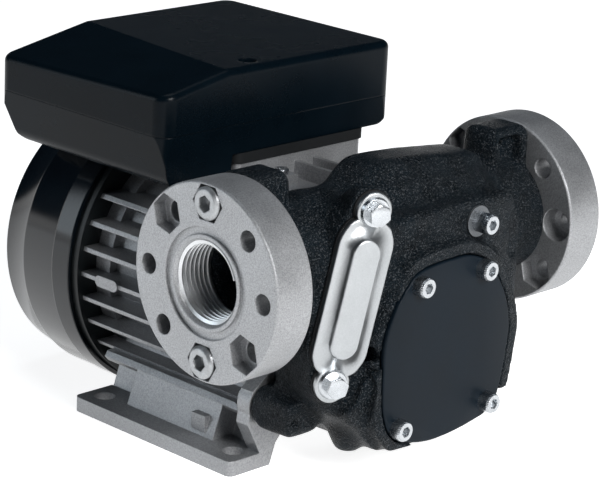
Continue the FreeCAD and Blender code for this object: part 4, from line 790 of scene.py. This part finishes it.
def background_rays(tree):
    """1 for rays that see the background: the camera's, and those in gloss and glass."""
    path = tree.nodes.new("ShaderNodeLightPath").outputs
    mirrored = calc(tree, "MAXIMUM", path["Is Camera Ray"], path["Is Glossy Ray"])
    return calc(tree, "MAXIMUM", mirrored, path["Is Transmission Ray"])


floor_glow = 0.85
floor_mesh = bpy.data.meshes.new("floor")
floor_mesh.from_pydata([(-8, -8, 0), (8, -8, 0), (8, 8, 0), (-8, 8, 0)], [], [(0, 1, 2, 3)])
floor = new_object("floor", floor_mesh)
floor_paint = surface("pale floor", (0.80, 0.80, 0.80), roughness=0.8, patch=0.5, patch_depth=0.01,
                      grain=0.01, grain_depth=0.01, bump=0.02, height=0.0001, specular=0.2, edge=0.0)
tree = floor_paint.node_tree
glow = add_node(tree, "ShaderNodeEmission", (("Strength", times(tree, background_rays(tree), floor_glow)),))
paint = tree.nodes["Principled BSDF"]
both = add_node(tree, "ShaderNodeAddShader", ((0, paint.outputs[0]), (1, glow.outputs[0])))
wire(tree, both.outputs[0], tree.nodes["Material Output"].inputs["Surface"])
floor_mesh.materials.append(floor_paint)

pale_below, dark_above, pale_unseen = 0.04, 0.10, 0.4
studio_dark = (0.014, 0.022, 0.032, 1)
world = bpy.data.worlds.new("surround")
bpy.context.scene.world = world
world.use_nodes = True
tree = world.node_tree
sky = tree.nodes["Background"]
sky.inputs["Strength"].default_value = 1.0
direction = tree.nodes.new("ShaderNodeTexCoord")
split = add_node(tree, "ShaderNodeSeparateXYZ", ((0, direction.outputs["Generated"]),))
near_floor = span(tree, split.outputs["Z"], pale_below, dark_above, 1.0, 0.0, curve="SMOOTHSTEP")
seen = span(tree, background_rays(tree), 0, 1, pale_unseen, 1)
studio = blend(tree, studio_dark, (1, 1, 1, 1), times(tree, near_floor, seen))
wire(tree, studio, sky.inputs["Color"])

lamp_target = Vector((0.0, 0.0, 0.07))
for name, place, size, power, tint in (("key lamp", (-0.32, -1.6, 1.0), 0.7, 34, (1, 1, 1)),
                                       ("left lamp", (-1.25, 1.0, 0.55), 0.8, 5, (0.84, 0.93, 1)),
                                       ("top lamp", (0.2, 0.1, 1.6), 0.9, 3.5, (0.9, 0.95, 1))):
    lamp = bpy.data.lights.new(name, "AREA")
    lamp.size = size
    lamp.energy = power
    lamp.color = tint
    holder = new_object(name, lamp)
    holder.location = place
    holder.rotation_euler = (lamp_target - Vector(place)).to_track_quat("-Z", "Y").to_euler()

azimuth, elevation, roll = math.radians(45.71), math.radians(17.10), math.radians(2.70)
camera_place = (-0.73034, -0.72767, 0.3935)
focal_pixels, picture_width, sensor_width = 2534.74, 600, 36.0
back = Vector((-math.sin(azimuth) * math.cos(elevation), -math.cos(azimuth) * math.cos(elevation),
               math.sin(elevation)))
level = Vector((math.cos(azimuth), -math.sin(azimuth), 0))
upright = back.cross(level)
right = math.cos(roll) * level + math.sin(roll) * upright
up = -math.sin(roll) * level + math.cos(roll) * upright
lens = bpy.data.cameras.new("camera")
lens.sensor_width = sensor_width
lens.lens = focal_pixels / picture_width * sensor_width
lens.clip_start = 0.05
lens.clip_end = 30
camera = new_object("camera", lens)
camera.matrix_world = Matrix.Translation(camera_place) @ Matrix((right, up, back)).transposed().to_4x4()
bpy.context.scene.camera = camera
bpy.context.scene.view_settings.view_transform = "Standard"
